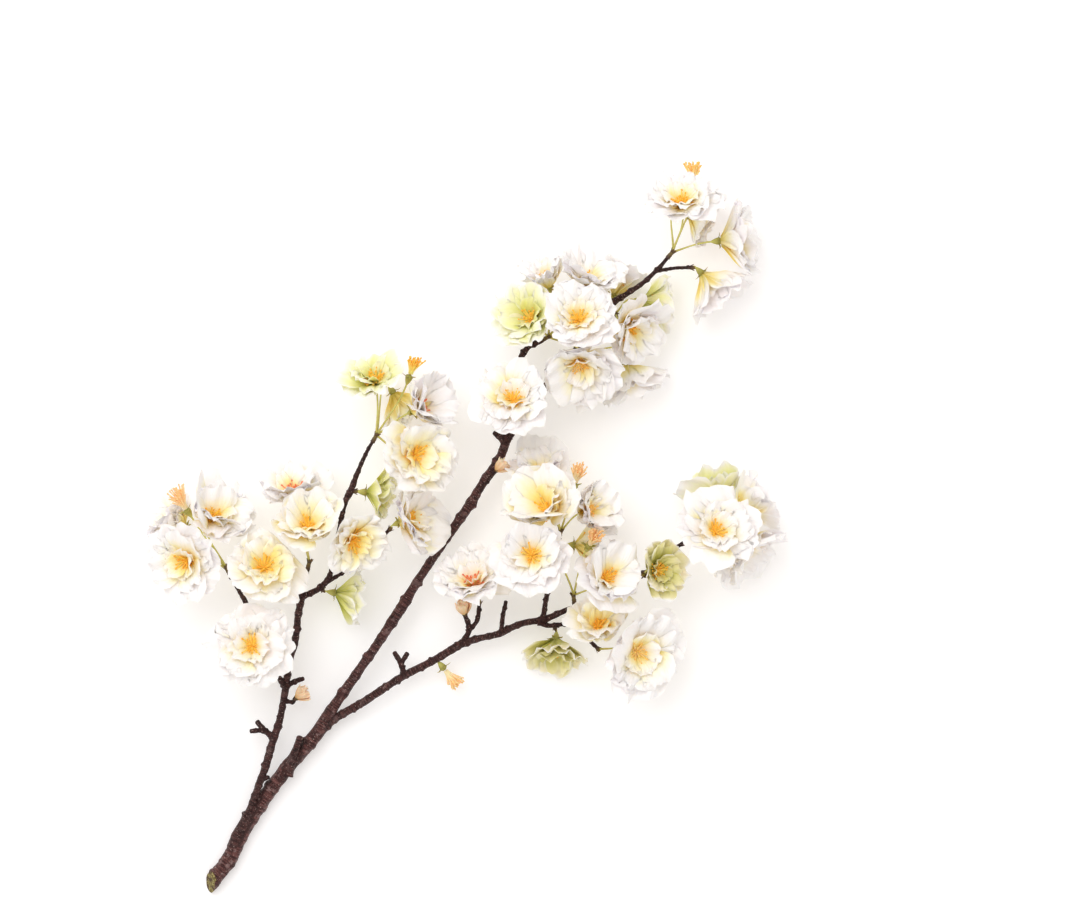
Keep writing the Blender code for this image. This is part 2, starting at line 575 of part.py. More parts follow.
def grow_petals(shape, name, frame, start):
    """Add both layers of petals; returns the collar's lower rim and its hole's upper one."""
    _, _, length, openness, inner, _ = FLOWERS[name]
    outer_walls = walls_round(name, "outer")
    inner_walls = walls_round(name, "inner")
    rim_low = circle(shape, frame, start, RING_RADIUS, -RING_HALF)
    rim_high = circle(shape, frame, start, RING_RADIUS, RING_HALF)
    hole_high = circle(shape, frame, start, RING_HOLE, RING_HALF)
    outer_rise = blend(*OUTER_RISE, openness)
    inner_rise = blend(*INNER_RISE, openness)
    turns = [start + 2 * math.pi * (k + 0.5) / PETALS for k in range(PETALS)]
    waves = [math.sin(WAVE_STEP * k + start) for k in range(PETALS)]
    outer = [settle(frame, turn, length * (1 + LENGTH_WAVE * wave), OUTER_WIDTH,
                    outer_rise + RISE_WAVE * wave, OUTER_CURL, (FLATTEST, STEEPEST_OUTER),
                    outer_walls) for turn, wave in zip(turns, waves)]
    for k in range(PETALS):
        j = (k + 1) % PETALS
        root = (rim_high[k], rim_high[j], rim_low[j], rim_low[k])
        add_blade(shape, root, OUTER_BLADE, frame, turns[k], outer[k], OUTER_WIDTH,
                  OUTER_CURL, outer_walls + sector_walls(frame, turns[k]), OUTER_RUFFLE)
        if k in INNER_PLACES[inner]:
            turn = turns[k] + SWIRL
            least = max(outer[k][0], outer[j][0]) + LAYER_ANGLE
            wanted = min(max(inner_rise + RISE_WAVE * waves[k], least), STEEPEST)
            reach = INNER_SHARE * length * (1 - LENGTH_WAVE * waves[k])
            settled = settle(frame, turn, reach, INNER_WIDTH, wanted, INNER_CURL,
                             (least, STEEPEST), inner_walls)
            root = (hole_high[k], hole_high[j], rim_high[j], rim_high[k])
            add_blade(shape, root, INNER_BLADE, frame, turn, settled, INNER_WIDTH,
                      INNER_CURL, inner_walls + sector_walls(frame, turn), INNER_RUFFLE)
        else:
            shape.faces += [(rim_high[k], rim_high[j], hole_high[j]),
                            (rim_high[k], hole_high[j], hole_high[k])]
    return rim_low, hole_high


def petal_ring(name):
    """The petals of one flower on a collar with a hole for the flower's neck."""
    frame, start = flower_frame(name)
    shape = Shape()
    rim_low, hole_high = grow_petals(shape, name, frame, start)
    hole_low = circle(shape, frame, start, RING_HOLE, -RING_HALF)
    shape.bridge(hole_low, rim_low)
    shape.bridge(hole_high, hole_low)
    return shape


def sector_walls(frame, turn):
    """The two planes through the flower's axis that part a petal from the next ones."""
    base, direction, side, up = frame
    walls = []
    for sign in (1, -1):
        edge = turn + sign * math.pi / PETALS
        outward = math.cos(edge) * side + math.sin(edge) * up
        across = np.cross(direction, outward) * sign
        walls.append((base - across * SECTOR_GAP, across))
    return walls


def flower_heart(frame, start, stamen, spread, path, sepal_walls=(), stamen_walls=(),
                 petals_of=None):
    """Stalk, calyx with five sepals, neck and tuft of stamens, as one closed solid.

    path runs from the foot of the calyx back to where the stalk starts. petals_of names
    a flower whose petals grow from the neck of the same solid.
    """
    place, direction, side, up = frame
    shape = Shape()
    top = -RING_HALF - AIR
    previous = circle(shape, frame, start, STALK_RADIUS, top - CALYX_LENGTH)
    under = circle(shape, frame, start, CALYX_RADIUS, top - SEPAL)
    over = circle(shape, frame, start, NECK_RADIUS, top)
    shape.bridge(previous, under)
    stalk_side = side
    for i, p in enumerate(path):
        behind = path[min(i + 1, len(path) - 1)]
        ahead = path[i - 1] if i else place + direction * (top - CALYX_LENGTH)
        along = unit(ahead - behind)
        stalk_side = unit(stalk_side - along * np.dot(stalk_side, along))
        stalk_frame = (p, along, stalk_side, np.cross(along, stalk_side))
        ring = circle(shape, stalk_frame, start, STALK_RADIUS, 0)
        shape.bridge(ring, previous)
        previous = ring
    shape.cap(previous, top=False)
    for k in range(PETALS):
        j = (k + 1) % PETALS
        a = start + 2 * math.pi * (k + 0.5) / PETALS
        outward = math.cos(a) * side + math.sin(a) * up
        reach = outward * (CALYX_RADIUS + SEPAL_LENGTH) + direction * (top - SEPAL_DROP)
        tip = shape.ring([give_way(place + reach, sepal_walls)])[0]
        shape.faces += [(under[k], under[j], tip), (over[j], over[k], tip),
                        (under[j], over[j], tip), (over[k], under[k], tip)]
    neck_high = circle(shape, frame, start, NECK_RADIUS, RING_HALF + NECK_ABOVE)
    if petals_of:
        rim_low, hole_high = grow_petals(shape, petals_of, frame, start)
        shape.bridge(over, rim_low)
        shape.bridge(hole_high, neck_high)
    else:
        shape.bridge(over, neck_high)
    add_stamens(shape, frame, start, neck_high, stamen, spread, stamen_walls)
    return shape


def add_stamens(shape, frame, start, neck, stamen, spread, walls):
    """The tuft: slim spikes grown from the facets of the neck's rounded end."""
    place, direction, side, up = frame
    crown = circle(shape, frame, start + math.pi / PETALS, NECK_RADIUS * CROWN_SHARE,
                   RING_HALF + CROWN_HEIGHT)
    summit = shape.ring([place + direction * (RING_HALF + SUMMIT_HEIGHT)])[0]

    def spike(corners, lean, azimuth, length):
        outward = math.cos(azimuth) * side + math.sin(azimuth) * up
        aim = direction * math.cos(lean) + outward * math.sin(lean)
        tip = place + direction * (RING_HALF + CROWN_HEIGHT) + aim * length
        apex = shape.ring([give_way(tip, walls)])[0]
        a, b, c = corners
        shape.faces += [(a, b, apex), (b, c, apex), (c, a, apex)]

    for k in range(PETALS):
        j = (k + 1) % PETALS
        a = start + 2 * math.pi * (k + 0.5) / PETALS
        spike((neck[k], neck[j], crown[k]), spread, a, stamen * (1.0 if k % 2 else SHORTER))
        shape.faces.append((neck[j], crown[j], crown[k]))
        if k in INNER_STAMENS:
            spike((crown[k], crown[j], summit), spread / 2, a + math.pi / PETALS, stamen)
        else:
            shape.faces.append((crown[k], crown[j], summit))


def stalk_path(knot, place, direction):
    """Points of the thin stalk, from near the foot of the calyx back to the knot."""
    foot = place - direction * (RING_HALF + AIR + CALYX_LENGTH)
    distance = np.linalg.norm(foot - knot)
    start_pull = blend(knot, foot, 0.35)
    end_pull = foot - direction * min(distance * 0.45, STALK_PULL)
    steps = 2 if distance < SHORT_STALK else 3
    points = curve_points(knot, start_pull, end_pull, foot, steps)
    return list(reversed(points[:-1]))


def heart_of(name, root, with_petals=False):
    """Stalk, calyx and stamens of a flower, or of a tuft that lost its petals."""
    frame, start = flower_frame(name)
    if name in FLOWERS:
        _, _, length, openness, _, _ = FLOWERS[name]
        stamen, spread = STAMEN_SHARE * length, blend(*STAMEN_SPREAD, openness)
    else:
        stamen, spread = TUFTS[name][2], TUFT_SPREAD
    path = stalk_path(root, frame[0], frame[1])
    return flower_heart(frame, start, stamen, spread, path, walls_round(name, "sepals"),
                        walls_round(name, "stamens"), name if with_petals else None)


def carrier(wood, target):
    """Ends of the woody spur, if there is one, then the start and direction of the stalk.

    wood names a limb, whose end then carries the stalk, or gives a place and a radius.
    """
    if isinstance(wood, str):
        last, before = vec(*LIMBS[wood][-1][:3]), vec(*LIMBS[wood][-2][:3])
        direction = unit(last - before)
        return None, last + direction * END_AIR, direction
    start, radius = vec(*wood[0]), wood[1]
    direction = unit(vec(*target) - start)
    woody_end = start + direction * (radius + SPUR_LENGTH)
    return (start, woody_end), woody_end + direction * AIR, direction


def knot_of(wood, knot):
    """The knot of a cluster; at a limb's end it lies in line with the limb."""
    if knot is None:
        _, start, direction = carrier(wood, None)
        return start + direction * KNOT_REACH
    return vec(*knot)


def join(name, shapes):
    """One closed solid from several that overlap.

    The exact solver leaves open edges here, where many slim tubes meet at one knot, so
    the union is the manifold one.
    """
    body = shapes[0].to_object(name)
    if len(shapes) > 1:
        group = bpy.data.collections.new(name + "_parts")
        bpy.context.scene.collection.children.link(group)
        for i, shape in enumerate(shapes[1:]):
            piece = shape.to_object(f"{name}_{i}")
            bpy.context.scene.collection.objects.unlink(piece)
            group.objects.link(piece)
        union = body.modifiers.new("union", "BOOLEAN")
        union.operation = "UNION"
        union.operand_type = "COLLECTION"
        union.collection = group
        union.solver = "MANIFOLD"
        bake(body)
        for piece in list(group.objects):
            bpy.data.objects.remove(piece)
        bpy.data.collections.remove(group)
    return body


def bake(body):
    """Apply the modifiers of an object to its mesh."""
    graph = bpy.context.evaluated_depsgraph_get()
    mesh = bpy.data.meshes.new_from_object(body.evaluated_get(graph))
    body.modifiers.clear()
    body.data = mesh


def clean_up(body):
    """Join facets that lie in one plane, and drop any scrap that a union left loose."""
    bm = bmesh.new()
    bm.from_mesh(body.data)
    bmesh.ops.triangulate(bm, faces=bm.faces)
    bmesh.ops.dissolve_limit(bm, angle_limit=FLAT_ENOUGH, verts=bm.verts, edges=bm.edges)
    bmesh.ops.triangulate(bm, faces=bm.faces)
    left = set(bm.faces)
    islands = []
    while left:
        seed = left.pop()
        island = [seed]
        queue = [seed]
        while queue:
            face = queue.pop()
            for edge in face.edges:
                for other in edge.link_faces:
                    if other in left:
                        left.remove(other)
                        island.append(other)
                        queue.append(other)
        islands.append(island)
    islands.sort(key=len)
    for island in islands[:-1]:
        bmesh.ops.delete(bm, geom=island, context="FACES")
    bmesh.ops.delete(bm, geom=[v for v in bm.verts if not v.link_faces], context="VERTS")
    bm.to_mesh(body.data)
    bm.free()


def finish(body, colour, smooth=False):
    """Give the solid its material and its shading."""
    material = bpy.data.materials.get(colour)
    if material is None:
        material = bpy.data.materials.new(colour)
        material.use_nodes = True
        rgb, roughness = COLOURS[colour]
        shader = material.node_tree.nodes["Principled BSDF"]
        shader.inputs["Base Color"].default_value = (*rgb, 1)
        shader.inputs["Roughness"].default_value = roughness
        shader.inputs["Metallic"].default_value = 0
    body.data.materials.clear()
    body.data.materials.append(material)
    if smooth:
        body.data.shade_smooth()
        body.data.set_sharp_from_angle(angle=SHARP)


def limb_shapes():
    """Every woody limb, spur and bud."""
    shapes = []
    for name, points in LIMBS.items():
        sides = LIMB_SIDES.get(name, TWIG_SIDES)
        slant = CUT_SLANT if name == "main" else 0.0
        shapes.append(tube([p[:3] for p in points], [p[3] for p in points], sides, slant))
    holders = [(wood, knot) for wood, knot, _ in CLUSTERS.values()]
    holders += [(wood, calyx_foot(name)) for name, wood in SINGLES.items()]
    for wood, target in holders:
        spur, _, _ = carrier(wood, target)
        if spur is not None:
            shapes.append(tube(spur, [SPUR_RADIUS, SPUR_END], TWIG_SIDES))
    for base, aim, length in WOOD_BUDS.values():
        profile = [(share * length, radius) for share, radius in BUD_OUTLINE]
        shapes.append(lathe(vec(*base), facing(*aim), profile, BUD_SIDES))
    return shapes


def calyx_foot(name):
    """A point on a flower's stalk, just behind its calyx."""
    place, aim = FLOWERS[name][:2]
    return vec(*place) - facing(*aim) * (RING_HALF + 2 * AIR + CALYX_LENGTH)


def wood_tufts():
    """Bare tufts that sit straight on the wood."""
    return [heart_of(name, vec(*root)) for name, root in WOOD_TUFTS.items()]


def build_wood():
    body = join("wood", limb_shapes() + wood_tufts())
    clean_up(body)
    return body


def build_cluster(name):
    """The stalks of one cluster with their calyxes and stamens, in one piece."""
    wood, knot, members = CLUSTERS[name]
    knot = knot_of(wood, knot)
    _, start, direction = carrier(wood, knot)
    shapes = [tube([start, knot + direction * PEG_SINK], [PEG_RADIUS, PEG_RADIUS], PETALS)]
    if len(members) > 1:
        profile = [(-BEAD_RADIUS, BEAD_END), (0, BEAD_RADIUS), (BEAD_RADIUS, BEAD_END)]
        shapes.append(lathe(knot, direction, profile, PETALS, BEAD_TURN))
    shapes += [heart_of(member, knot) for member in members]
    body = join("stalks_" + name, shapes)
    clean_up(body)
    return body


def build_flower(name):
    """The petals of one flower; a flower that stands alone has its own stalk and heart."""
    if name in SINGLES:
        _, start, _ = carrier(SINGLES[name], calyx_foot(name))
        return heart_of(name, start, with_petals=True).to_object("petals_" + name)
    return petal_ring(name).to_object("petals_" + name)


def corners(body):
    """Lowest and highest corner of a solid."""
    count = len(body.data.vertices)
    points = np.empty(count * 3)
    body.data.vertices.foreach_get("co", points)
    points = points.reshape(count, 3)
    return points.min(axis=0), points.max(axis=0)


def lay_flat(body):
    """Press what all but touches the table flat on it."""
    for vertex in body.data.vertices:
        if vertex.co.z < LAID_FLAT:
            vertex.co.z = 0.0


def main():
    for obj in list(bpy.data.objects):
        bpy.data.objects.remove(obj)
    wood = build_wood()
    clusters = {name: build_cluster(name) for name in CLUSTERS}
    flowers = {name: build_flower(name) for name in FLOWERS}
    finish(wood, "wood", smooth=True)
    for body in clusters.values():
        finish(body, "stalks", smooth=True)
    for name, body in flowers.items():
        finish(body, FLOWERS[name][5])
    bodies = [wood, *clusters.values(), *flowers.values()]
    for body in bodies:
        lay_flat(body)
    lows, highs = zip(*[corners(body) for body in bodies])
    low, high = np.min(lows, axis=0), np.max(highs, axis=0)
    middle = (low + high) / 2
    shift = Matrix.Translation((-middle[0], -middle[1], 0))
    for body in bodies:
        body.data.transform(Matrix.Scale(MM, 4) @ shift)
    print("box", np.round(high - low, 2), "shift", np.round(-middle, 3), "low", np.round(low, 3))
    print("triangles", sum(len(p.vertices) - 2 for b in bodies for p in b.data.polygons))


main()
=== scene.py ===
# %% [markdown]
# A cut branch of double white blossom lies on a pale table and is seen from straight above.
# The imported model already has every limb, stalk and bloom at its real size and place.
# This lesson dresses it: each plain solid is replaced by a finer piece that keeps its form.

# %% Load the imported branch
import json
import math
from collections import namedtuple

import bpy
import numpy as np
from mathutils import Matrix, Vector, kdtree, noise

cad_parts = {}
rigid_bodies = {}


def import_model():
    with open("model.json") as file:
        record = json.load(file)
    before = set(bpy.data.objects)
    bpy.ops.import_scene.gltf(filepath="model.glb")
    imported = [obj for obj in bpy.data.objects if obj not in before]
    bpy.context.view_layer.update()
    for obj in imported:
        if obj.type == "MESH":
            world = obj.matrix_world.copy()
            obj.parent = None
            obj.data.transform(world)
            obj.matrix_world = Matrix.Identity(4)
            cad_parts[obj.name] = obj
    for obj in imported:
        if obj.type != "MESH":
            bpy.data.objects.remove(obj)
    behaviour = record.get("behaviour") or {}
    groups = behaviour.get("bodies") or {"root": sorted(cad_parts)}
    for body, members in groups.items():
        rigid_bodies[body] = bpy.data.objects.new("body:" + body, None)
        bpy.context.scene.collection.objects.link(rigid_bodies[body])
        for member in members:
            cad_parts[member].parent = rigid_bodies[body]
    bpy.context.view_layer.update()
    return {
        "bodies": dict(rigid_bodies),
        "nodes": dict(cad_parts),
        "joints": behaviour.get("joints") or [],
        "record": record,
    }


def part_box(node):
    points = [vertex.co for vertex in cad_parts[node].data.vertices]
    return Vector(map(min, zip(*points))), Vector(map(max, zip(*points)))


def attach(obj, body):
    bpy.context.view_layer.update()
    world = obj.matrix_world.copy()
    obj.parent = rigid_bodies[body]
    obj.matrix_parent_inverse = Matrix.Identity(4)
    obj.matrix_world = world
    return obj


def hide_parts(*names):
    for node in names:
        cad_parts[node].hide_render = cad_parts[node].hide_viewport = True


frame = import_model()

MM = 0.001
SEED = 11

# %% [markdown]
# The branch is drawn in millimetres on the table: x to the right, y away from the cut end
# and z up. These are the same points as in the solid model, so each finer limb runs inside
# its plain one. A limb is a list of (x, y, z, radius) from its thick end.

# %% Woody limbs
LIMBS = {
    "main": [
        (-174, -226, 5.9, 6.5), (-162, -210, 5.9, 6.5), (-154, -193, 6.4, 6.8),
        (-140, -172, 7.6, 6.3), (-123, -150, 9.5, 6.0), (-108, -133, 11, 5.8),
        (-98, -117, 12, 4.6), (-84, -97, 13.5, 4.0), (-68, -74, 15.5, 3.9), (-53, -51, 17.5, 4.6),
        (-45, -38, 18.5, 3.6), (-29, -14, 21, 3.3), (-11, 12, 23.5, 4.1), (-2, 27, 25, 3.3),
        (7, 40, 26, 3.5), (12, 53, 27, 4.0)],
    "left_fork": [
        (12, 52, 27, 3.2), (13, 70, 28, 2.4), (16, 92, 29, 2.1), (24, 108, 31, 2.0),
        (33, 113, 32, 1.8)],
    "right_fork": [
        (11, 52, 27, 3.4), (22, 67, 27, 2.8), (33, 81, 27, 2.6), (42, 92, 28, 2.8),
        (59, 113, 29, 2.2), (76, 135, 31, 2.4), (86, 142, 32, 1.8), (95, 148, 33, 1.5),
        (105, 157, 34, 1.4), (111, 164, 35, 1.2)],
    "tip_side": [(104, 156, 34, 1.2), (116, 158, 32, 1.1), (126, 158.5, 29, 1.0)],
    "right_branch": [
        (-109, -134, 10, 4.2), (-95, -122, 10.5, 3.2), (-78, -112, 11.5, 3.1),
        (-55, -97, 13, 2.8), (-36, -87, 14, 2.8), (-17, -76, 15.5, 2.9), (-5, -72, 16.5, 2.3),
        (7, -69, 17, 2.4), (20, -63, 18.5, 2.2), (35, -60, 20, 2.3), (47, -55, 22, 1.9),
        (59, -51, 23, 1.9), (70, -46, 24.5, 1.8), (84, -40, 27, 1.9), (92, -33, 28.5, 2.0),
        (104, -28, 29.5, 1.6), (114, -17, 30, 1.3), (124, -11, 30.5, 1.2), (131, -8, 31, 1.1)],
    "right_end": [(103, -29, 29.5, 1.4), (111, -27, 29.5, 1.2), (119, -24, 29.5, 1.1)],
    "left_branch": [
        (-160, -203, 7, 2.8), (-149, -179, 10, 2.5), (-143, -163, 12, 2.6), (-139, -152, 13, 2.8),
        (-134, -135, 15, 3.0), (-130, -123, 16.5, 2.5), (-128, -113, 18, 2.3),
        (-126, -102, 19, 2.6), (-124, -88, 21, 2.1), (-120, -74, 22.5, 2.2), (-118, -57, 24, 2.5),
        (-115, -44, 25, 2.3)],
    "left_spur": [(-116, -46, 25, 1.9), (-114, -37, 27, 1.8), (-112, -29, 28.5, 1.5)],
    "left_right": [
        (-116, -46, 25, 1.9), (-109, -43, 26, 1.9), (-104, -40, 27, 1.8), (-98, -32, 28.5, 1.6),
        (-94, -16, 30, 1.5), (-91, 2, 31, 1.6), (-89, 12, 32, 2.0), (-85, 20, 33, 2.2),
        (-80, 33, 34, 1.4), (-75, 44, 35, 1.2), (-71.5, 50, 35.5, 1.1)],
    "left_second": [
        (-105, -40, 27, 1.4), (-88, -29, 29, 1.3), (-76, -18, 30, 1.2), (-66, -9, 31, 1.2),
        (-61, -4, 32, 1.1)],
    "left_hidden": [
        (-126, -103, 19, 1.9), (-134, -90, 21, 1.8), (-143, -73, 22, 1.7), (-150, -51, 25, 1.7),
        (-156, -39, 27, 1.5), (-160, -32, 28.5, 1.2)],
    "centre_hidden": [
        (34, -60, 20, 1.7), (37, -42, 23.5, 1.5), (41, -23, 25, 1.3), (44, -10, 26, 1.1)],
    "stump": [(-125, -158, 11, 2.8), (-121.6, -146, 13.5, 2.8), (-117.4, -134, 16, 2.5)],
    "fork_stub": [(11, 50, 27, 2.2), (4, 56, 29, 1.8)],
    "cut_twig": [(8, -69, 17, 1.6), (9, -59, 19, 1.4), (11, -49, 20, 1.3)],
    "cross_twig": [
        (31, -62, 19.5, 1.7), (38, -64, 20, 1.5), (48, -63, 22, 1.4), (58, -63, 24, 1.2)],
    "low_stub": [(55, -63, 23.5, 1.3), (61, -71, 23, 1.2), (68, -78, 23, 1.2)],
    "y_stalk": [(-52, -96, 13.2, 1.9), (-55, -87, 15, 1.7), (-58.5, -81, 16, 1.6)],
    "y_arm": [(-54.5, -88, 15, 1.5), (-50.5, -81.5, 16, 1.5)],
    "elbow": [(-17, -76, 15.5, 1.9), (-12, -67, 17, 1.8), (-14.5, -57, 19, 1.4)],
    "elbow_right": [(-13, -68, 17, 1.5), (-7, -61, 18.5, 1.4), (-5.5, -50, 21, 1.3)],
    "left_stub": [(-134, -134, 15, 2.0), (-140, -129, 16, 1.9), (-144, -124, 17, 1.7)],
    "left_stub_arm": [(-139, -129, 16, 1.6), (-148, -130, 17, 1.5)],
    "right_stub": [(-126, -102, 19, 1.8), (-121, -99, 20, 1.6), (-115, -97, 21, 1.4)],
    "bud_twig": [(-127, -111, 18, 1.5), (-122, -111.5, 19.5, 1.2), (-119.5, -109, 20, 1.1)],
    "bud_stub": [(-11, 13, 23.5, 1.8), (5, 33, 27, 1.3)],
    "left_thorn": [(-142, -160, 12.5, 1.8), (-137, -159, 13.5, 1.3)],
    "fork_thorn": [(40, 90, 28, 1.8), (36, 95, 30, 1.4)],
}
print(len(LIMBS), "limbs and stubs")

# %% [markdown]
# A bloom is told by six things: where its ring of petals sits, the compass direction and
# the height that it faces, how long its petals are, how far it is open, how many petals
# stand in its heart, and its tint. Closed buds and bare tufts need only place, aim, length.

# %% Blooms, closed buds and bare tufts
Bloom = namedtuple("Bloom", "where aim length open heart tint")
Tuft = namedtuple("Tuft", "where aim length")
FLOWERS = {
    "tip_1": ((120, 195, 46), (95, 35), 22, 0.75, 5, "white"),
    "tip_2": ((126, 191, 24), (-20, -5), 20, 0.40, 3, "white"),
    "tip_3": ((145, 175, 31), (5, -5), 25, 0.60, 3, "white"),
    "tip_4": ((134, 154, 23), (-45, -8), 26, 0.35, 3, "white"),
    "upper_1": ((28, 125, 42), (130, 55), 22, 0.80, 5, "green"),
    "upper_2": ((37, 147, 30), (105, 12), 20, 0.30, 2, "white"),
    "upper_3": ((56, 124, 56), (85, 65), 24, 0.85, 5, "white"),
    "upper_4": ((59, 146, 36), (75, 30), 23, 0.70, 3, "white"),
    "upper_5": ((57, 101, 44), (-95, 38), 25, 0.70, 5, "white"),
    "upper_6": ((79, 143, 16), (60, -12), 21, 0.55, 3, "cream"),
    "upper_7": ((97, 138, 16), (-10, -18), 21, 0.60, 3, "green"),
    "upper_8": ((85, 123, 33), (-40, 25), 22, 0.60, 3, "cream"),
    "upper_9": ((87, 98, 18), (-70, -8), 25, 0.50, 3, "white"),
    "upper_10": ((16, 75, 48), (95, 62), 25, 0.90, 5, "white"),
    "mid_1": ((-69, 86, 42), (95, 28), 21, 0.80, 3, "green"),
    "mid_2": ((-45, 70, 38), (25, 30), 23, 0.70, 3, "white"),
    "mid_3": ((-46, 42, 46), (20, 60), 26, 0.80, 5, "cream"),
    "mid_4": ((-59, 80, 11.5), (-60, -5), 21, 0.40, 2, "cream"),
    "mid_5": ((-74, 19, 34), (-5, 0), 21, 0.40, 3, "green"),
    "mid_6": ((-53, 1, 36), (20, 25), 25, 0.70, 3, "cream"),
    "mid_7": ((-84, -9, 46), (-45, 55), 21, 0.75, 5, "cream"),
    "mid_8": ((-94, -44, 17), (-10, -5), 20, 0.35, 2, "green"),
    "mid_9": ((-111, -4, 46), (80, 50), 26, 0.80, 5, "cream"),
    "mid_11": ((-120, 16, 31), (95, 20), 22, 0.80, 3, "white"),
    "left_1": ((-184, -22, 47), (200, 62), 24, 0.85, 5, "white"),
    "left_2": ((-190, -2, 17.5), (140, 10), 22, 0.60, 3, "white"),
    "left_3": ((-172, 2, 34), (62, 38), 25, 0.75, 5, "white"),
    "left_4": ((-138, -28, 44), (75, 64), 24, 0.85, 5, "cream"),
    "left_5": ((-145, -76, 44), (90, 80), 26, 0.95, 5, "white"),
    "low_1": ((33, 27, 26), (95, 20), 22, 0.70, 3, "white"),
    "low_2": ((38, 8, 45), (140, 54), 25, 0.80, 5, "cream"),
    "low_3": ((60, 7, 31), (20, 30), 21, 0.60, 3, "cream"),
    "low_4": ((55, -14, 17), (0, -5), 21, 0.60, 2, "cream"),
    "low_5": ((27, -20, 54), (100, 72), 26, 0.95, 5, "white"),
    "low_6": ((-8, -39, 36), (105, 38), 24, 0.70, 3, "cream"),
    "low_7": ((71, -35, 44), (40, 42), 24, 0.65, 3, "white"),
    "low_8": ((68, -65, 36), (80, 50), 19, 0.60, 2, "cream"),
    "low_9": ((42, -74, 16), (-95, 5), 20, 0.50, 3, "green"),
    "low_10": ((91, -79, 34), (-15, 45), 27, 0.85, 5, "white"),
    "low_11": ((103, -29, 40), (0, 52), 19, 0.75, 3, "green"),
    "right_1": ((140, -6, 47), (75, 64), 26, 0.85, 5, "white"),
    "right_2": ((143, 12, 16), (100, -18), 23, 0.60, 3, "green"),
    "right_3": ((157, 6, 24), (40, -12), 23, 0.55, 3, "white"),
    "right_4": ((155, -11, 28), (-50, 22), 24, 0.70, 3, "white"),
}
TUFTS = {
    "tuft_tip": ((127, 211, 27), (88, 10), 9),
    "tuft_crest": ((-48, 92, 38), (70, 12), 8),
    "tuft_left": ((-186, 9, 42), (120, 30), 11),
    "tuft_centre": ((54, 25, 40), (75, 30), 9),
    "tuft_pair": ((63, -13, 44), (60, 42), 9),
    "tuft_low": ((-27, -92, 13.5), (-50, 5), 9),
}
WOOD_TUFTS = {"tuft_low": (-33, -86, 14.2)}   # where its stalk leaves the wood
WOOD_BUDS = {
    "bud_left": ((-119.8, -109.3, 20), (35, 5), 8),
    "bud_twig_end": ((-14.5, -57.4, 19), (100, 12), 8),
    "bud_main": ((4.5, 32.5, 27), (35, 5), 8),
}
FLOWERS = {name: Bloom(*row) for name, row in FLOWERS.items()}
TUFTS = {name: Tuft(*row) for name, row in TUFTS.items()}
print(len(FLOWERS), "blooms,", len(TUFTS), "bare tufts and", len(WOOD_BUDS), "closed buds")

# %% [markdown]
# Blooms grow in clusters. A cluster leaves the end of a limb, or a spur at a given place
# and radius of the wood, and its stalks part at a knot. Other blooms stand alone.

# %% Clusters, and blooms that stand alone
CLUSTERS = {
    "tip": ("right_fork", None, ("tip_1", "tip_2", "tip_3", "tuft_tip")),
    "upper": ("left_fork", None, ("upper_1", "upper_2", "upper_3", "upper_4", "upper_5")),
    "fork": (((76, 135, 31), 2.4), (79, 130, 25), ("upper_6", "upper_7", "upper_8")),
    "crest": ("left_right", None, ("mid_1", "mid_2", "mid_3", "mid_4", "tuft_crest")),
    "spur": ("left_spur", None, ("mid_9", "mid_11")),
    "left": ("left_hidden", None, ("left_1", "left_2", "left_3", "left_4", "tuft_left")),
    "centre": ("centre_hidden", None, ("low_1", "low_2", "low_3", "low_5", "tuft_centre")),
    "pair": (((54, -53, 22.5), 1.9), (53, -45, 27), ("low_4", "low_7", "tuft_pair")),
    "right": ("right_branch", None, ("right_1", "right_2", "right_3", "right_4")),
    "bend": (((-91.5, -4, 30.6), 1.6), (-90, -5, 35.5), ("mid_7",)),
    "fork_flower": (((12, 60, 27), 3.0), (13, 62, 34), ("upper_10",)),
    "shoulder": (((-143, -73, 22), 1.7), (-144, -77, 28), ("left_5",)),
    "outer": (((96, -31, 29), 1.9), (96, -32, 34), ("low_11",)),
}
SINGLES = {
    "tip_4": "tip_side",
    "upper_9": ((52, 104.5, 28.6), 2.4),
    "mid_5": ((-86, 20, 33), 2.2),
    "mid_6": "left_second",
    "mid_8": ((-104, -40.5, 27), 1.8),
    "low_6": "elbow_right",
    "low_8": "cross_twig",
    "low_9": ((41, -63.5, 20.5), 1.4),
    "low_10": "low_stub",
}
print(len(CLUSTERS), "clusters,", len(SINGLES), "single blooms")

# %% [markdown]
# Everything that grows is built from directions and smooth curves, so a few helpers come
# first. They work on whole arrays of points at once, which keeps a bloom of a thousand
# points quick to bend and easy to read.

# %% Directions
def unit(v):
    return v / np.maximum(np.linalg.norm(v, axis=-1, keepdims=True), 1e-9)


def facing(azimuth, elevation):
    """Unit vector for a compass direction from +X and an angle above the table."""
    a, e = math.radians(azimuth), math.radians(elevation)
    return np.array([math.cos(e) * math.cos(a), math.cos(e) * math.sin(a), math.sin(e)])


def square_to(direction):
    """Two directions square to the given one, the first as level as it can be."""
    reference = np.array([0.0, 0, 1]) if abs(direction[2]) < 0.95 else np.array([0.0, 1, 0])
    side = unit(np.cross(reference, direction))
    return side, np.cross(direction, side)


def turns(count, shift=0.0):
    """Evenly spread angles of a full circle."""
    return 2 * math.pi * (np.arange(count) + shift) / count


def around(turn, side, up):
    """Directions at one angle or many round a stalk, from the two that are square to it."""
    turn = np.asarray(turn)[..., None]
    return np.cos(turn) * side + np.sin(turn) * up


def blend(low, high, t):
    return low + (high - low) * t


print("a bloom that faces azimuth 90 and elevation 0 looks along", np.round(facing(90, 0), 3))

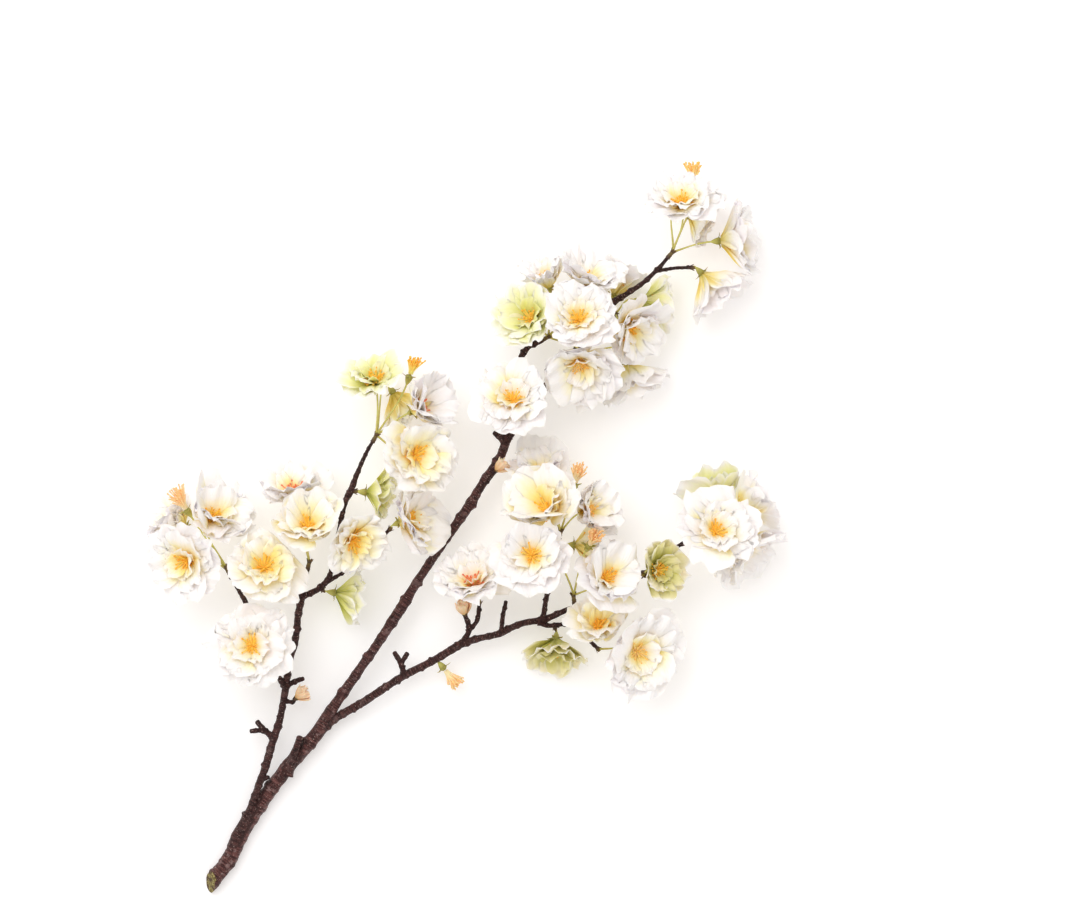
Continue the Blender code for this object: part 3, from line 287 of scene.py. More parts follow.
# %% Curves
def smooth_path(points, step):
    """A curve through the points, read at about every step; a fourth column is the radius."""
    p = np.array(points, dtype=float)
    p = np.vstack([2 * p[0] - p[1], p, 2 * p[-1] - p[-2]])
    found = []
    for a, b, c, d in zip(p, p[1:], p[2:], p[3:]):
        count = max(2, round(np.linalg.norm((c - b)[:3]) / step))
        t = np.linspace(0, 1, count, endpoint=False)[:, None]
        found.append(0.5 * (2 * b + (c - a) * t + (2 * a - 5 * b + 4 * c - d) * t ** 2
                            + (3 * b - a - 3 * c + d) * t ** 3))
    return np.vstack(found + [p[-2:-1]])


def arc_between(start, start_pull, end_pull, end, count):
    """A smooth curve from start to end, shaped by two pulls."""
    t = np.linspace(0, 1, count)[:, None]
    return ((1 - t) ** 3 * start + 3 * t * (1 - t) ** 2 * start_pull
            + 3 * t * t * (1 - t) * end_pull + t ** 3 * end)


def frames_along(path):
    """The direction of travel at each point, and two directions square to it."""
    along = unit(np.gradient(path, axis=0))
    sides = np.empty_like(path)
    side = square_to(along[0])[0]
    for i, a in enumerate(along):
        side = unit(side - a * np.dot(side, a))
        sides[i] = side
    return along, sides, np.cross(along, sides)


print("a smooth curve has", len(smooth_path(LIMBS["main"], 1)), "points along the main limb")

# %% [markdown]
# The solids were centred when they were packed, so a point on the table has to be moved by
# the same amount. The lowest corner of the wood is a corner of the cut butt's ring of eight
# points. That ring is worked out again here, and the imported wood's box gives the shift.

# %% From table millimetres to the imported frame
BUTT_SIDES = 8
CUT_SLANT = 0.7      # slope of the solid's cut face


def butt_corners():
    first, second = np.array(LIMBS["main"][:2])
    along = unit(second[:3] - first[:3])
    side, up = square_to(along)
    offset = first[3] * around(turns(BUTT_SIDES, 0.5), side, up)
    return first[:3] + offset + along * CUT_SLANT * (offset @ side)[:, None]


SHIFT = np.array(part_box("wood")[0]) / MM - butt_corners().min(axis=0)
SHIFT[2] = 0.0
print("the branch is shifted by", np.round(SHIFT, 3))

# %% [markdown]
# Each finished piece rides on the branch and hides the packed nodes that it stands for. A
# point keeps three numbers, its tag, which the materials read later: where along the petal or
# stalk it lies, where across, and one more. A mesh attribute carries them, so no image is
# needed.

# %% Make pieces
LOWEST = 0.12        # nothing dips closer to the table than this
SHARP = math.radians(62)
triangle_counts = {}


def add_object(name, data):
    """A new object in the scene, from a mesh, a lamp or a camera."""
    new = bpy.data.objects.new(name, data)
    bpy.context.scene.collection.objects.link(new)
    return new


def mesh_object(name, points, faces):
    """A mesh object from points in table millimetres."""
    mesh = bpy.data.meshes.new(name)
    mesh.from_pydata(((points.reshape(-1, 3) + SHIFT) * MM).tolist(), [], faces)
    return add_object(name, mesh)


def keep_numbers(mesh, label, values):
    """Store three numbers with each point of a mesh."""
    attribute = mesh.attributes.new(label, "FLOAT_VECTOR", "POINT")
    attribute.data.foreach_set("vector", values.ravel())


def place(piece, materials, slot, *nodes):
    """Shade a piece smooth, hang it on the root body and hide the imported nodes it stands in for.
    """
    for material in materials:
        piece.data.materials.append(material)
    piece.data.shade_smooth()
    piece.data.set_sharp_from_angle(angle=SHARP)
    triangle_counts[piece.name] = sum(len(face.vertices) - 2 for face in piece.data.polygons)
    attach(piece, "root")
    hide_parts(*nodes)


def triangles(*beginnings):
    """Triangles in all pieces whose names begin like this."""
    return sum(n for name, n in triangle_counts.items() if name.startswith(beginnings))


print("edges sharper than", round(math.degrees(SHARP)), "degrees stay sharp")

# %% [markdown]
# A bloom has more than a dozen petals and a cluster has hundreds of stamens. All the forms
# of a piece are gathered first, and become one mesh at once, which is far quicker than
# joining objects.

# %% Gather forms into one piece
class Form:
    """Points in table millimetres with their tags, and faces with their finish."""

    def __init__(self):
        self.points, self.tags, self.faces, self.finishes = [], [], [], []
        self.size = 0
        self.finish = 0      # number of the material that the next faces get

    def add(self, points, tags, faces):
        points = points.reshape(-1, 3)
        self.points.append(points)
        self.tags.append(tags.reshape(-1, 3))
        self.faces += [tuple(int(i) + self.size for i in face) for face in faces]
        self.finishes += [self.finish] * len(faces)
        self.size += len(points)

    def make(self, name, materials, slot, *nodes):
        """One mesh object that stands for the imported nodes."""
        points = np.concatenate(self.points)
        points[:, 2] = np.maximum(points[:, 2], LOWEST)
        piece = mesh_object(name, points, self.faces)
        piece.data.polygons.foreach_set("material_index", self.finishes)
        keep_numbers(piece.data, "tag", np.concatenate(self.tags))
        place(piece, materials, slot, *nodes)


def tag_rows(along, across, more):
    """Tags of many points; a single number counts for all of them."""
    return np.stack(np.broadcast_arrays(along, across, more), axis=-1).astype(float)


print("a tag of two points:", tag_rows([0, 1], 0.5, 0).tolist())

# %% [markdown]
# Stalks and stamens are thin tubes: rings of points carried along a curve, with a face at
# each end. Petals and sepals are thin blades: a grid of points for the middle surface, one
# skin above it, one below it and a rim between them, so each blade is a closed solid.

# %% Tubes and blades
RIM_SHARE = 0.35     # thickness of a blade at its rim, as a share of its full thickness


def grid_quads(rows, columns, closed):
    """Faces of a grid of points; closed joins its last column to its first."""
    i, j = np.meshgrid(np.arange(rows - 1), np.arange(columns if closed else columns - 1),
                       indexing="ij")
    k = (j + 1) % columns
    quads = np.stack([i * columns + j, i * columns + k, (i + 1) * columns + k,
                      (i + 1) * columns + j], axis=-1)
    return quads.reshape(-1, 4)


def tube_faces(rows, sides):
    """Faces of a row of rings, then one cap for its first ring and one for its last."""
    first = list(range(sides))[::-1]
    last = list(range((rows - 1) * sides, rows * sides))
    return grid_quads(rows, sides, closed=True).tolist() + [first, last]


def add_tube(form, path, radii, sides, tags):
    """A closed tube; tags holds one row for each point of the path, or one for all."""
    _, side, up = frames_along(path)
    rows = len(path)
    ring = around(turns(sides), side[:, None], up[:, None])
    spread = np.repeat(np.broadcast_to(tags, (rows, 3))[:, None], sides, axis=1)
    form.add(path[:, None] + np.reshape(radii, (-1, 1, 1)) * ring, spread, tube_faces(rows, sides))


def add_blade(form, middle, thickness, tags):
    """A closed blade round a grid of middle points, thinner towards its rim."""
    rows, columns = middle.shape[:2]
    normal = unit(np.cross(np.gradient(middle, axis=1), np.gradient(middle, axis=0)))
    i, j = np.meshgrid(np.arange(rows), np.arange(columns), indexing="ij")
    inside = np.minimum(rows - 1 - i, np.minimum(j, columns - 1 - j)) / 2
    half = thickness / 2 * blend(RIM_SHARE, 1, np.clip(inside, 0, 1))[..., None]
    top = grid_quads(rows, columns, closed=False)
    below = rows * columns
    rim = np.array([*range(columns), *range(2 * columns - 1, below, columns),
                    *range(below - 2, below - 1 - columns, -1),
                    *range(below - 2 * columns, 0, -columns)])
    following = np.roll(rim, -1)
    walls = np.stack([following, rim, rim + below, following + below], axis=-1)
    tags = tags.reshape(-1, 3)
    form.add(np.concatenate([middle + normal * half, middle - normal * half]),
             np.concatenate([tags, tags]), np.concatenate([top, top[:, ::-1] + below, walls]))


print("a tube of 6 rings of 4 points has", len(tube_faces(6, 4)), "faces")

# %% [markdown]
# The photograph looks straight at the branch, so the camera hangs straight above the table.
# A long lens far away keeps the blooms that stand higher from looking larger.

# %% Camera
PHOTO_WIDTH = 672.7           # what the frame spans on the table, in mm
VIEW_CENTRE = (33.8, 45.3)    # the middle of the frame on the table
CAMERA_HEIGHT = 2500.0        # above the middle of the blooms
BLOOM_HEIGHT = 30.0
SENSOR = 36.0

camera = add_object("camera", bpy.data.cameras.new("camera"))
camera.data.sensor_width = SENSOR
camera.data.lens = SENSOR * CAMERA_HEIGHT / PHOTO_WIDTH
camera.location = [(VIEW_CENTRE[0] + SHIFT[0]) * MM, (VIEW_CENTRE[1] + SHIFT[1]) * MM,
                   (BLOOM_HEIGHT + CAMERA_HEIGHT) * MM]
bpy.context.scene.camera = camera
print("the lens is", round(camera.data.lens, 1), "mm long")

# %% [markdown]
# A finish is a network of nodes. It could be wired by hand in the shader editor; here a
# recipe adds a node and its wires in one short line, so that a whole finish can be read
# from top to bottom. Colours are given as they look on screen.

# %% Nodes for the materials
SCREEN_KNEE = 0.04045    # below this, screen colours are a straight line


def tone(red, green, blue):
    """A colour given as it looks on screen, from 0 to 255, as Blender's linear light."""
    shares = [c / 255 for c in (red, green, blue)]
    return (*(c / 12.92 if c <= SCREEN_KNEE else ((c + 0.055) / 1.055) ** 2.4 for c in shares), 1.0)


class Recipe:
    """One material, with short ways to add a node and to feed it."""

    def __init__(self, name):
        self.material = bpy.data.materials.new(name)
        self.material.use_nodes = True
        self.tree = self.material.node_tree
        self.shader = self.tree.nodes["Principled BSDF"]

    def feed(self, socket, value):
        """Wire a socket or set it; a tuple of three numbers is a colour on screen."""
        if isinstance(value, bpy.types.NodeSocket):
            self.tree.links.new(value, socket)
        else:
            socket.default_value = tone(*value) if isinstance(value, tuple) else value

    def node(self, kind, inputs=(), **settings):
        new = self.tree.nodes.new("ShaderNode" + kind)
        for key, value in settings.items():
            setattr(new, key, value)
        for key, value in dict(inputs).items():
            self.feed(new.inputs[key], value)
        return new

    def set(self, **inputs):
        for key, value in inputs.items():
            self.feed(self.shader.inputs[key.replace("_", " ")], value)

    def maths(self, operation, *values):
        return self.node("Math", dict(enumerate(values)), operation=operation).outputs[0]

    def times(self, a, b):
        return self.maths("MULTIPLY", a, b)

    def where(self):
        """The position of a point on its object."""
        return self.node("TexCoord").outputs["Object"]

    def tag(self, name="tag"):
        """The three numbers of a point's tag."""
        found = self.node("Attribute", attribute_name=name).outputs["Vector"]
        return self.node("SeparateXYZ", {0: found}).outputs

    def stretched(self, numbers, *shares):
        """A position from three numbers, each multiplied, which stretches a noise laid on it."""
        parts = [self.times(number, share) for number, share in zip(numbers, shares)]
        return self.node("CombineXYZ", dict(enumerate(parts))).outputs[0]

    def noise(self, where, scale, detail=2.0, roughness=0.5):
        return self.node("TexNoise", {"Vector": where, "Scale": scale, "Detail": detail,
                                      "Roughness": roughness}).outputs["Fac"]

    def ramp(self, factor, *stops):
        new = self.node("ValToRGB", {"Fac": factor})
        elements = new.color_ramp.elements
        while len(elements) < len(stops):
            elements.new(0.5)
        for element, (position, colour) in zip(elements, stops):
            element.position = position
            grey = (colour, colour, colour, 1.0)
            element.color = tone(*colour) if isinstance(colour, tuple) else grey
        return new.outputs["Color"]

    def mix(self, factor, a, b, how="MIX"):
        new = self.node("Mix", data_type="RGBA", blend_type=how)
        for key, value in (("Factor_Float", factor), ("A_Color", a), ("B_Color", b)):
            self.feed(next(s for s in new.inputs if s.identifier == key), value)
        return next(s for s in new.outputs if s.identifier == "Result_Color")

    def bump(self, height, distance, strength=1.0):
        self.set(Normal=self.node("Bump", {"Height": height, "Distance": distance,
                                           "Strength": strength}).outputs[0])


print("middle grey on screen is", round(tone(128, 128, 128)[0], 3), "in linear light")

# %% [markdown]
# White blossom on a white ground is told apart only by soft shade. A bright, slightly warm
# sky fills every fold, and one large, slightly cool lamp from the upper left draws the
# ruffles. The table glows a little, as for a cut-out photograph, so that it stays white and
# keeps a faint shadow. Light may bounce often, because it passes through many petals.

# %% Floor, sky and lamp
FLOOR_SIZE = 6.0
FLOOR_GLOW = 0.28
LAMP_PLACE = (-0.7, 1.1, 2.4)
LAMP_SIZE = 2.0
LAMP_POWER = 31.0
LAMP_COLOUR = (0.98, 0.98, 1.0)
SKY_COLOUR = tone(255, 250, 244)
SKY_STRENGTH = 0.88
LIGHT_BOUNCES = 16

floor_mesh = bpy.data.meshes.new("floor")
floor_mesh.from_pydata([(x * FLOOR_SIZE / 2, y * FLOOR_SIZE / 2, 0)
                        for x, y in ((-1, -1), (1, -1), (1, 1), (-1, 1))], [], [(0, 1, 2, 3)])
floor = add_object("floor", floor_mesh)
paper = Recipe("pale_floor")
paper.set(Base_Color=(230, 230, 232), Roughness=0.9, Emission_Color=(255, 255, 255),
          Emission_Strength=FLOOR_GLOW)
floor_mesh.materials.append(paper.material)

lamp = add_object("lamp", bpy.data.lights.new("lamp", "AREA"))
lamp.data.size = LAMP_SIZE
lamp.data.energy = LAMP_POWER
lamp.data.color = LAMP_COLOUR
lamp.location = LAMP_PLACE
lamp.rotation_euler = (-Vector(LAMP_PLACE)).to_track_quat("-Z", "Y").to_euler()

sky = bpy.data.worlds.new("sky")
sky.use_nodes = True
sky.node_tree.nodes["Background"].inputs["Color"].default_value = SKY_COLOUR
sky.node_tree.nodes["Background"].inputs["Strength"].default_value = SKY_STRENGTH
bpy.context.scene.world = sky
bpy.context.scene.view_settings.view_transform = "Standard"
bpy.context.scene.cycles.max_bounces = 2 * LIGHT_BOUNCES
bpy.context.scene.cycles.diffuse_bounces = LIGHT_BOUNCES
print("the lamp stands", LAMP_PLACE[2], "m above the table")

# %% [markdown]
# The wood of such a branch is never a plain pipe: it swells at every old bud, each side
# branch leaves a flared collar, and twigs are rough with crowded scars. Sculpting would do
# it once; here a rule does it for all limbs. Rings follow each smooth limb, and their radius
# carries the swellings.

# %% Scars of old buds
SCAR_SPACING = ((3.2, 13.0), (1.9, 6.5), (0.0, 3.6))    # from this radius on, a scar at every
SCAR_TURN = 2.4        # from one scar to the next round the limb, as buds grow
Scar = namedtuple("Scar", "at azimuth height long wide")


def scars(rng, radius, length):
    """Old buds on a limb: place along, azimuth, height, reach along and reach round."""
    spacing = next(gap for least, gap in SCAR_SPACING if radius >= least)
    found = []
    for k in range(int(length / spacing)):
        at = (k + rng.uniform(0.25, 0.85)) * spacing
        height = rng.uniform(0.10, 0.32) * radius + rng.uniform(0.12, 0.38)
        found.append(Scar(at, k * SCAR_TURN + rng.uniform(-0.7, 0.7), height,
                          rng.uniform(0.3, 0.5) * radius + 0.4, rng.uniform(0.5, 0.9)))
    return found


print("a twig of 60 mm has", len(scars(np.random.default_rng(SEED), 1.5, 60)), "scars")

# %% Rings of a limb
RING_STEP = 0.85       # distance between two rings, in mm
RING_SIDES = ((3.6, 28), (2.1, 18), (0.0, 12))          # above this radius, so many sides
SLIM = (0.96, 0.74)    # bark between two swellings against the plain limb, on twig and stem
SLIM_RADII = (1.5, 4.0)
FLARE = 0.4            # how much wider a limb is where it leaves its parent
FLARE_REACH = 1.1      # how far that goes, in radii
CUT_LEAN = (0.7, 0.8)  # slope of the cut to the side and upwards
CUT_FADE = 14.0        # how far along the stem that slope dies out
LUMP_SCALE = 0.16
LUMP_SHARE = 0.10
Limb = namedtuple("Limb", "points centre along side up travelled radius")


def limb_rings(name, number):
    """The rings of points of one limb, displaced by its scars and lumps."""
    path = smooth_path(LIMBS[name], RING_STEP)
    centre = path[:, :3]
    radius = path[:, 3] * np.interp(path[:, 3], SLIM_RADII, SLIM)
    travelled = np.concatenate([[0], np.cumsum(np.linalg.norm(np.diff(centre, axis=0), axis=1))])
    thick = radius.mean()
    sides = next(sides for least, sides in RING_SIDES if thick > least)
    turn = turns(sides, 0.5)
    along, side, up = frames_along(centre)
    if name != "main":
        radius = radius * (1 + FLARE * np.exp(-travelled / (FLARE_REACH * radius[0])))
    ring = around(turn, side[:, None], up[:, None])
    reach = np.repeat(radius[:, None], sides, axis=1)
    for scar in scars(np.random.default_rng(SEED + number), thick, travelled[-1]):
        near = np.exp(-((travelled - scar.at) / scar.long) ** 2)[:, None]
        apart = np.angle(np.exp(1j * (turn - scar.azimuth)))[None]
        reach = reach + scar.height * near * (0.35 + np.exp(-(apart / scar.wide) ** 2))
    points = centre[:, None] + reach[..., None] * ring
    for p, o, r in zip(points.reshape(-1, 3), ring.reshape(-1, 3), reach.ravel()):
        lump = noise.noise(Vector(p) * LUMP_SCALE * 3.2 / (0.6 + r * 0.25))
        p += o * (lump * LUMP_SHARE * (r + 0.8))
    if name == "main":
        fade = np.clip(1 - travelled / CUT_FADE, 0, 1)[:, None]
        lean = CUT_LEAN[0] * side + CUT_LEAN[1] * up
        back = fade * np.einsum("rsk,rk->rs", points - centre[:, None], lean)
        points = points + along[:, None] * back[..., None]
    return Limb(points, centre, along, side, up, travelled, radius)


limbs = {name: limb_rings(name, number) for number, name in enumerate(LIMBS)}
print("rings on the main limb:", len(limbs["main"].points))

# %% [markdown]
# The far end of a limb is rounded over. At the thick end, where the branch was cut, a
# slanted greenish face shows its fibres. It is modelled as rings that close towards the
# pith, each a little rough, and not as one flat cap, so it catches the light like torn wood.

# %% Ends of the limbs
ROUNDING = (0.35, 0.7, 0.93)      # rings over a rounded end, as shares of a quarter circle
BLUNT = 0.55                      # how far that end stands out, in radii
CUT_RINGS = (0.94, 0.86, 0.66, 0.42, 0.2)
CUT_ROUGH = 0.35
CUT_INSET = 0.25


def close_limb(limb):
    """Points and faces of a limb, with its far end rounded over."""
    last = limb.points[-1]
    middle = last.mean(axis=0)
    out = limb.along[-1] * limb.radius[-1] * BLUNT
    angles = [share * math.pi / 2 for share in ROUNDING]
    rounding = [middle + (last - middle) * math.cos(a) + out * math.sin(a) for a in angles]
    points = np.concatenate([limb.points, rounding])
    return points, tube_faces(*points.shape[:2])


def cut_main(points, faces):
    """The main limb with rough rings that close at the pith in place of its first cap."""
    rows, sides = points.shape[:2]
    del faces[-2]
    middle = points[0].mean(axis=0)
    outward = -limbs["main"].along[0]
    first = np.arange(sides)
    all_points = [points.reshape(-1, 3)]
    for number, share in enumerate(CUT_RINGS):
        ring = middle + (points[0] - middle) * share
        for p in ring:
            p += outward * (noise.noise(Vector(p) * 0.9) * CUT_ROUGH - CUT_INSET)
        all_points.append(ring)
        inner = (rows + number) * sides + np.arange(sides)
        faces += np.stack([first, inner, np.roll(inner, -1), np.roll(first, -1)],
                          axis=-1).tolist()
        first = inner
    return np.concatenate(all_points), faces + [first[::-1].tolist()]


parts = []
for name, limb in limbs.items():
    points, faces = close_limb(limb)
    if name == "main":
        points, faces = cut_main(points, faces)
    parts.append(mesh_object("limb_" + name, points, faces))
print(len(parts), "loose limbs")

# %% [markdown]
# Where a stalk does not grow from the end of a twig, it grows from a spur, a very short
# woody shoot. A hair of air stays between the wood and each stalk, as in the solid model.

# %% Where the stalks leave the wood
END_AIR = 0.6          # from a twig's end to its stalk
AIR = 0.36             # from a spur to its stalk, and from the petals' ring to the bell
KNOT_REACH = 4.5       # from a limb's end to the knot of its cluster
RING_HALF = 0.8        # half the height of a bloom's ring of petals
CALYX_LENGTH = 5.5
SPUR_LENGTH = 1.6
SPUR_RADII = (1.5 * 1.25, 1.15)
SPUR_RINGS = 9
SPUR_SIDES = 12


def carrier(wood, target):
    """The woody spur, if there is one, then the start and the direction of a stalk."""
    if isinstance(wood, str):
        last, before = np.array(LIMBS[wood][-1][:3]), np.array(LIMBS[wood][-2][:3])
        direction = unit(last - before)
        return None, last + direction * END_AIR, direction
    start, radius = np.array(wood[0], dtype=float), wood[1]
    direction = unit(np.array(target) - start)
    woody_end = start + direction * (radius + SPUR_LENGTH)
    return (start, woody_end), woody_end + direction * AIR, direction


def calyx_foot(name):
    """A point on a bloom's stalk, just behind its calyx."""
    bloom = FLOWERS[name]
    return np.array(bloom.where) - facing(*bloom.aim) * (RING_HALF + 2 * AIR + CALYX_LENGTH)


def spur_part(number, start, end):
    """A short woody spur that carries a cluster."""
    path = np.linspace(start, end + unit(end - start) * 0.1, SPUR_RINGS)
    bumps = 1 + 0.1 * np.sin(np.arange(SPUR_RINGS) * 2.2)
    form = Form()
    add_tube(form, path, np.linspace(*SPUR_RADII, SPUR_RINGS) * bumps, SPUR_SIDES, (0, 0, 0))
    return mesh_object(f"spur_{number}", form.points[0], form.faces)


holders = [(wood, knot) for wood, knot, _ in CLUSTERS.values()]
holders += [(wood, calyx_foot(name)) for name, wood in SINGLES.items()]
spurs = [carrier(wood, target)[0] for wood, target in holders]
parts += [spur_part(number, *ends) for number, ends in enumerate(spurs) if ends is not None]
print(len(parts), "loose parts with the spurs")

# %% [markdown]
# One union joins all limbs and spurs into a single skin, so that no hidden wall is left
# inside the wood and each fork is one closed surface.

# %% Join the wood into one skin
wood_piece = parts.pop(0)
wood_piece.name = "bark"
group = bpy.data.collections.new("limbs")
bpy.context.scene.collection.children.link(group)
for part in parts:
    bpy.context.scene.collection.objects.unlink(part)
    group.objects.link(part)
union = wood_piece.modifiers.new("union", "BOOLEAN")
union.operand_type = "COLLECTION"
union.collection = group
union.operation = "UNION"
union.solver = "MANIFOLD"
graph = bpy.context.evaluated_depsgraph_get()
joined = bpy.data.meshes.new_from_object(wood_piece.evaluated_get(graph))
wood_piece.modifiers.clear()
wood_piece.data = joined
joined.materials.clear()
for part in parts:
    bpy.data.objects.remove(part)
bpy.data.collections.remove(group)
print("the wood has", len(joined.polygons), "faces")

# %% [markdown]
# Bark has a grain: wrinkles run round a limb and cracks run along it. A material can only
# follow that if it knows where on the limb a point lies, so each point of the wood looks up
# the nearest place on the centre lines and stores its straightened position there.

# %% Straightened positions on the bark
LIMB_APART = 53        # keeps the grain of two limbs from being alike
NEAREST = 5            # places on the centre lines that are compared

samples = [(limb.centre[i], limb.side[i], limb.up[i], limb.travelled[i] + LIMB_APART * number,
            limb.radius[i])
           for number, limb in enumerate(limbs.values()) for i in range(len(limb.centre))]
tree = kdtree.KDTree(len(samples))
for number, sample in enumerate(samples):
    tree.insert(Vector(sample[0]), number)
tree.balance()

flat = np.empty(len(joined.vertices) * 3)
joined.vertices.foreach_get("co", flat)
wood_points = flat.reshape(-1, 3) / MM - SHIFT
straight, age = np.empty_like(wood_points), np.empty_like(wood_points)
for number, p in enumerate(wood_points):
    nearest = min(tree.find_n(Vector(p), NEAREST), key=lambda hit: hit[2] - samples[hit[1]][4])
    centre, side, up, along_limb, radius = samples[nearest[1]]
    offset = p - centre
    straight[number] = (np.dot(offset, side), np.dot(offset, up), along_limb)
    age[number] = (radius, np.linalg.norm(offset) / max(radius, 0.1), 0)
wood_points[:, 2] = np.maximum(wood_points[:, 2], LOWEST)
joined.vertices.foreach_set("co", ((wood_points + SHIFT) * MM).ravel())
keep_numbers(joined, "straight", straight)
keep_numbers(joined, "tag", age)
print(len(samples), "places on the centre lines")

# %% Faces of the cut
CUT_DEPTH = 1.3        # faces this close to the plane of the cut belong to it
CUT_REACH = 11.0       # if they are this near to its middle
CUT_FACING = 0.45      # and look about the same way

stem = limbs["main"]
cut_normal = unit(CUT_LEAN[0] * stem.side[0] + CUT_LEAN[1] * stem.up[0] - stem.along[0])
for face in joined.polygons:
    offset = np.array(face.center) / MM - SHIFT - stem.centre[0]
    close = np.linalg.norm(offset) < CUT_REACH and np.dot(offset, cut_normal) > -CUT_DEPTH
    face.material_index = int(close and np.dot(np.array(face.normal), cut_normal) > CUT_FACING)
print("faces on the cut:", sum(face.material_index for face in joined.polygons))

# %% [markdown]
# The bark is a dark reddish brown. On the old stem it is lighter, with pale scuffs, fine
# wrinkles round it and short corky dashes; on the twigs it is nearly black. All of it comes
# from noise, stretched along or round the straightened limb, and the same noise drives the
# bump, so what looks like a wrinkle also catches the light like one.

# %% Bark and cut wood
OLDEST = 6.0           # radius of the oldest wood, in mm


def bark_material():
    bark = Recipe("bark")
    straightened = bark.tag("straight")
    old = bark.ramp(bark.maths("DIVIDE", bark.tag()[0], OLDEST), (0.2, 0.0), (0.85, 1.0))
    wrinkle = bark.noise(bark.stretched(straightened, 0.10, 0.10, 1), 1.1, 3.0, 0.6)
    crack = bark.noise(bark.stretched(straightened, 1, 1, 0.12), 1.5, 3.0, 0.6)
    patch = bark.noise(bark.stretched(straightened, 1, 1, 1), 0.22, 3.0, 0.6)
    speck = bark.noise(bark.stretched(straightened, 1, 1, 2.2), 0.9, 1.0)
    base = bark.mix(old, (34, 17, 17), (62, 29, 28))
    light = bark.mix(old, (68, 40, 38), (124, 80, 76))
    colour = bark.mix(bark.ramp(wrinkle, (0.42, 0.0), (0.66, 1.0)), base, light)
    colour = bark.mix(bark.ramp(crack, (0.30, 1.0), (0.46, 0.0)), colour, (22, 13, 13))
    scuff = bark.times(bark.ramp(patch, (0.54, 0.0), (0.66, 0.65)), old)
    colour = bark.mix(scuff, colour, (150, 124, 122))
    colour = bark.mix(bark.ramp(speck, (0.66, 0.0), (0.73, 0.8)), colour, (176, 156, 148))
    height = bark.maths("ADD", bark.times(wrinkle, 0.8), bark.times(crack, 0.7))
    height = bark.maths("ADD", height, bark.times(speck, 0.3))
    bark.set(Base_Color=colour, Roughness=bark.ramp(patch, (0.3, 0.34), (0.75, 0.6)),
             Specular_IOR_Level=0.22)
    bark.bump(height, 0.0011)
    return bark.material


def cut_material():
    cut = Recipe("cut_wood")
    fibre = cut.noise(cut.where(), 900.0, 4.0, 0.7)
    stain = cut.noise(cut.where(), 260.0, 2.0)
    colour = cut.ramp(fibre, (0.32, (62, 44, 24)), (0.48, (122, 108, 58)),
                      (0.60, (176, 164, 104)), (0.72, (206, 196, 146)))
    colour = cut.mix(cut.ramp(stain, (0.42, 0.0), (0.56, 0.85)), colour, (64, 36, 26))
    cut.set(Base_Color=colour, Roughness=0.8)
    cut.bump(fibre, 0.0008)
    return cut.material


place(wood_piece, [bark_material(), cut_material()], "bark", "wood")
print("triangles in the wood:", triangles("bark"))

# %% [markdown]
# The petals are soft, so a bloom may stand fuller than its plain solid, or turn up a little
# on its stalk, as the photograph shows it. Both are kept small here, one table for each.

# %% Fuller blooms and lifted heads
# How much longer the petals are than those of the solid.
FULLER = {"low_2": 1.16, "low_3": 1.15, "low_7": 1.18, "low_10": 1.08, "low_1": 1.1, "low_8": 1.1,
          "left_3": 1.14, "left_1": 1.06, "left_2": 1.1, "upper_5": 1.12, "upper_4": 1.1,
          "upper_8": 1.15, "upper_1": 1.06, "tip_2": 1.12, "tip_3": 1.1, "tip_1": 1.1,
          "mid_2": 1.12, "mid_6": 1.08, "mid_7": 1.08, "mid_11": 1.12, "mid_4": 1.1,
          "right_4": 1.1, "right_3": 1.06, "low_9": 1.06}
# Degrees by which a head turns up.
LIFTED = {"low_9": 24, "low_10": 20, "low_1": 18, "upper_2": 18, "left_2": 16, "mid_1": 10,
          "tip_1": 6, "mid_2": 8, "left_3": 12, "low_8": 10, "upper_5": 16, "upper_8": 14,
          "tip_4": 14, "tip_3": 12, "mid_11": 26, "low_3": 22, "low_7": 8}


def spot_of(name):
    return FLOWERS.get(name) or TUFTS[name]


def aim_of(name):
    azimuth, elevation = spot_of(name).aim
    return facing(azimuth, elevation + LIFTED.get(name, 0))


def length_of(name):
    return FLOWERS[name].length * FULLER.get(name, 1.0)


print(len(FULLER), "blooms are fuller than their solids, and", len(LIFTED), "turn up")

# %% [markdown]
# Blooms in a cluster press on each other. Each bloom is given a cell: the room between it
# and its neighbours, shared by their sizes, with the table as one more wall. A petal is
# first drawn as if it grew alone, and is then bent back where it would leave its cell.
# A cloth simulation could press them too, but it would be slow, and less tidy to repeat.

# %% Cells of the blooms
NEIGHBOUR_REACH = 75   # blooms further apart than this take no notice of each other
FRONT_ROOM = 0.5       # extra share of room for a bloom that faces up
TUFT_ROOM = 13
TUFT_CENTRE = 3
CELL_REACH = (0.46, 0.30)   # from ring to middle of the cell, in petal lengths, closed and open
CLEARANCE = 0.45       # from the wall of a cell to what stands nearest to it
AHEAD = 0.4            # a neighbour is in front or behind from this share on
LAYER_ROOM = {
    "sepals": {"front": 4.2, "side": 0.8, "back": 0.2},
    "outer": {"front": 2.2, "side": 0.3, "back": 0.6},
    "middle": {"front": 1.2, "side": 1.0, "back": 1.6},
    "inner": {"front": 0.2, "side": 1.9, "back": 2.8},
    "stamens": {"front": 0.6, "side": 3.0, "back": 4.0},
    "tuft": {"front": 0.2, "side": 0.2, "back": 0.2},
}


def cell_centre(name):
    away = TUFT_CENTRE
    if name in FLOWERS:
        away = length_of(name) * blend(*CELL_REACH, FLOWERS[name].open)
    return np.array(spot_of(name).where) + aim_of(name) * away


def room_of(name):
    """How much room a bloom claims: more when it is large and faces up."""
    if name in TUFTS:
        return TUFT_ROOM
    return length_of(name) * (1 + FRONT_ROOM * max(0.0, aim_of(name)[2]))


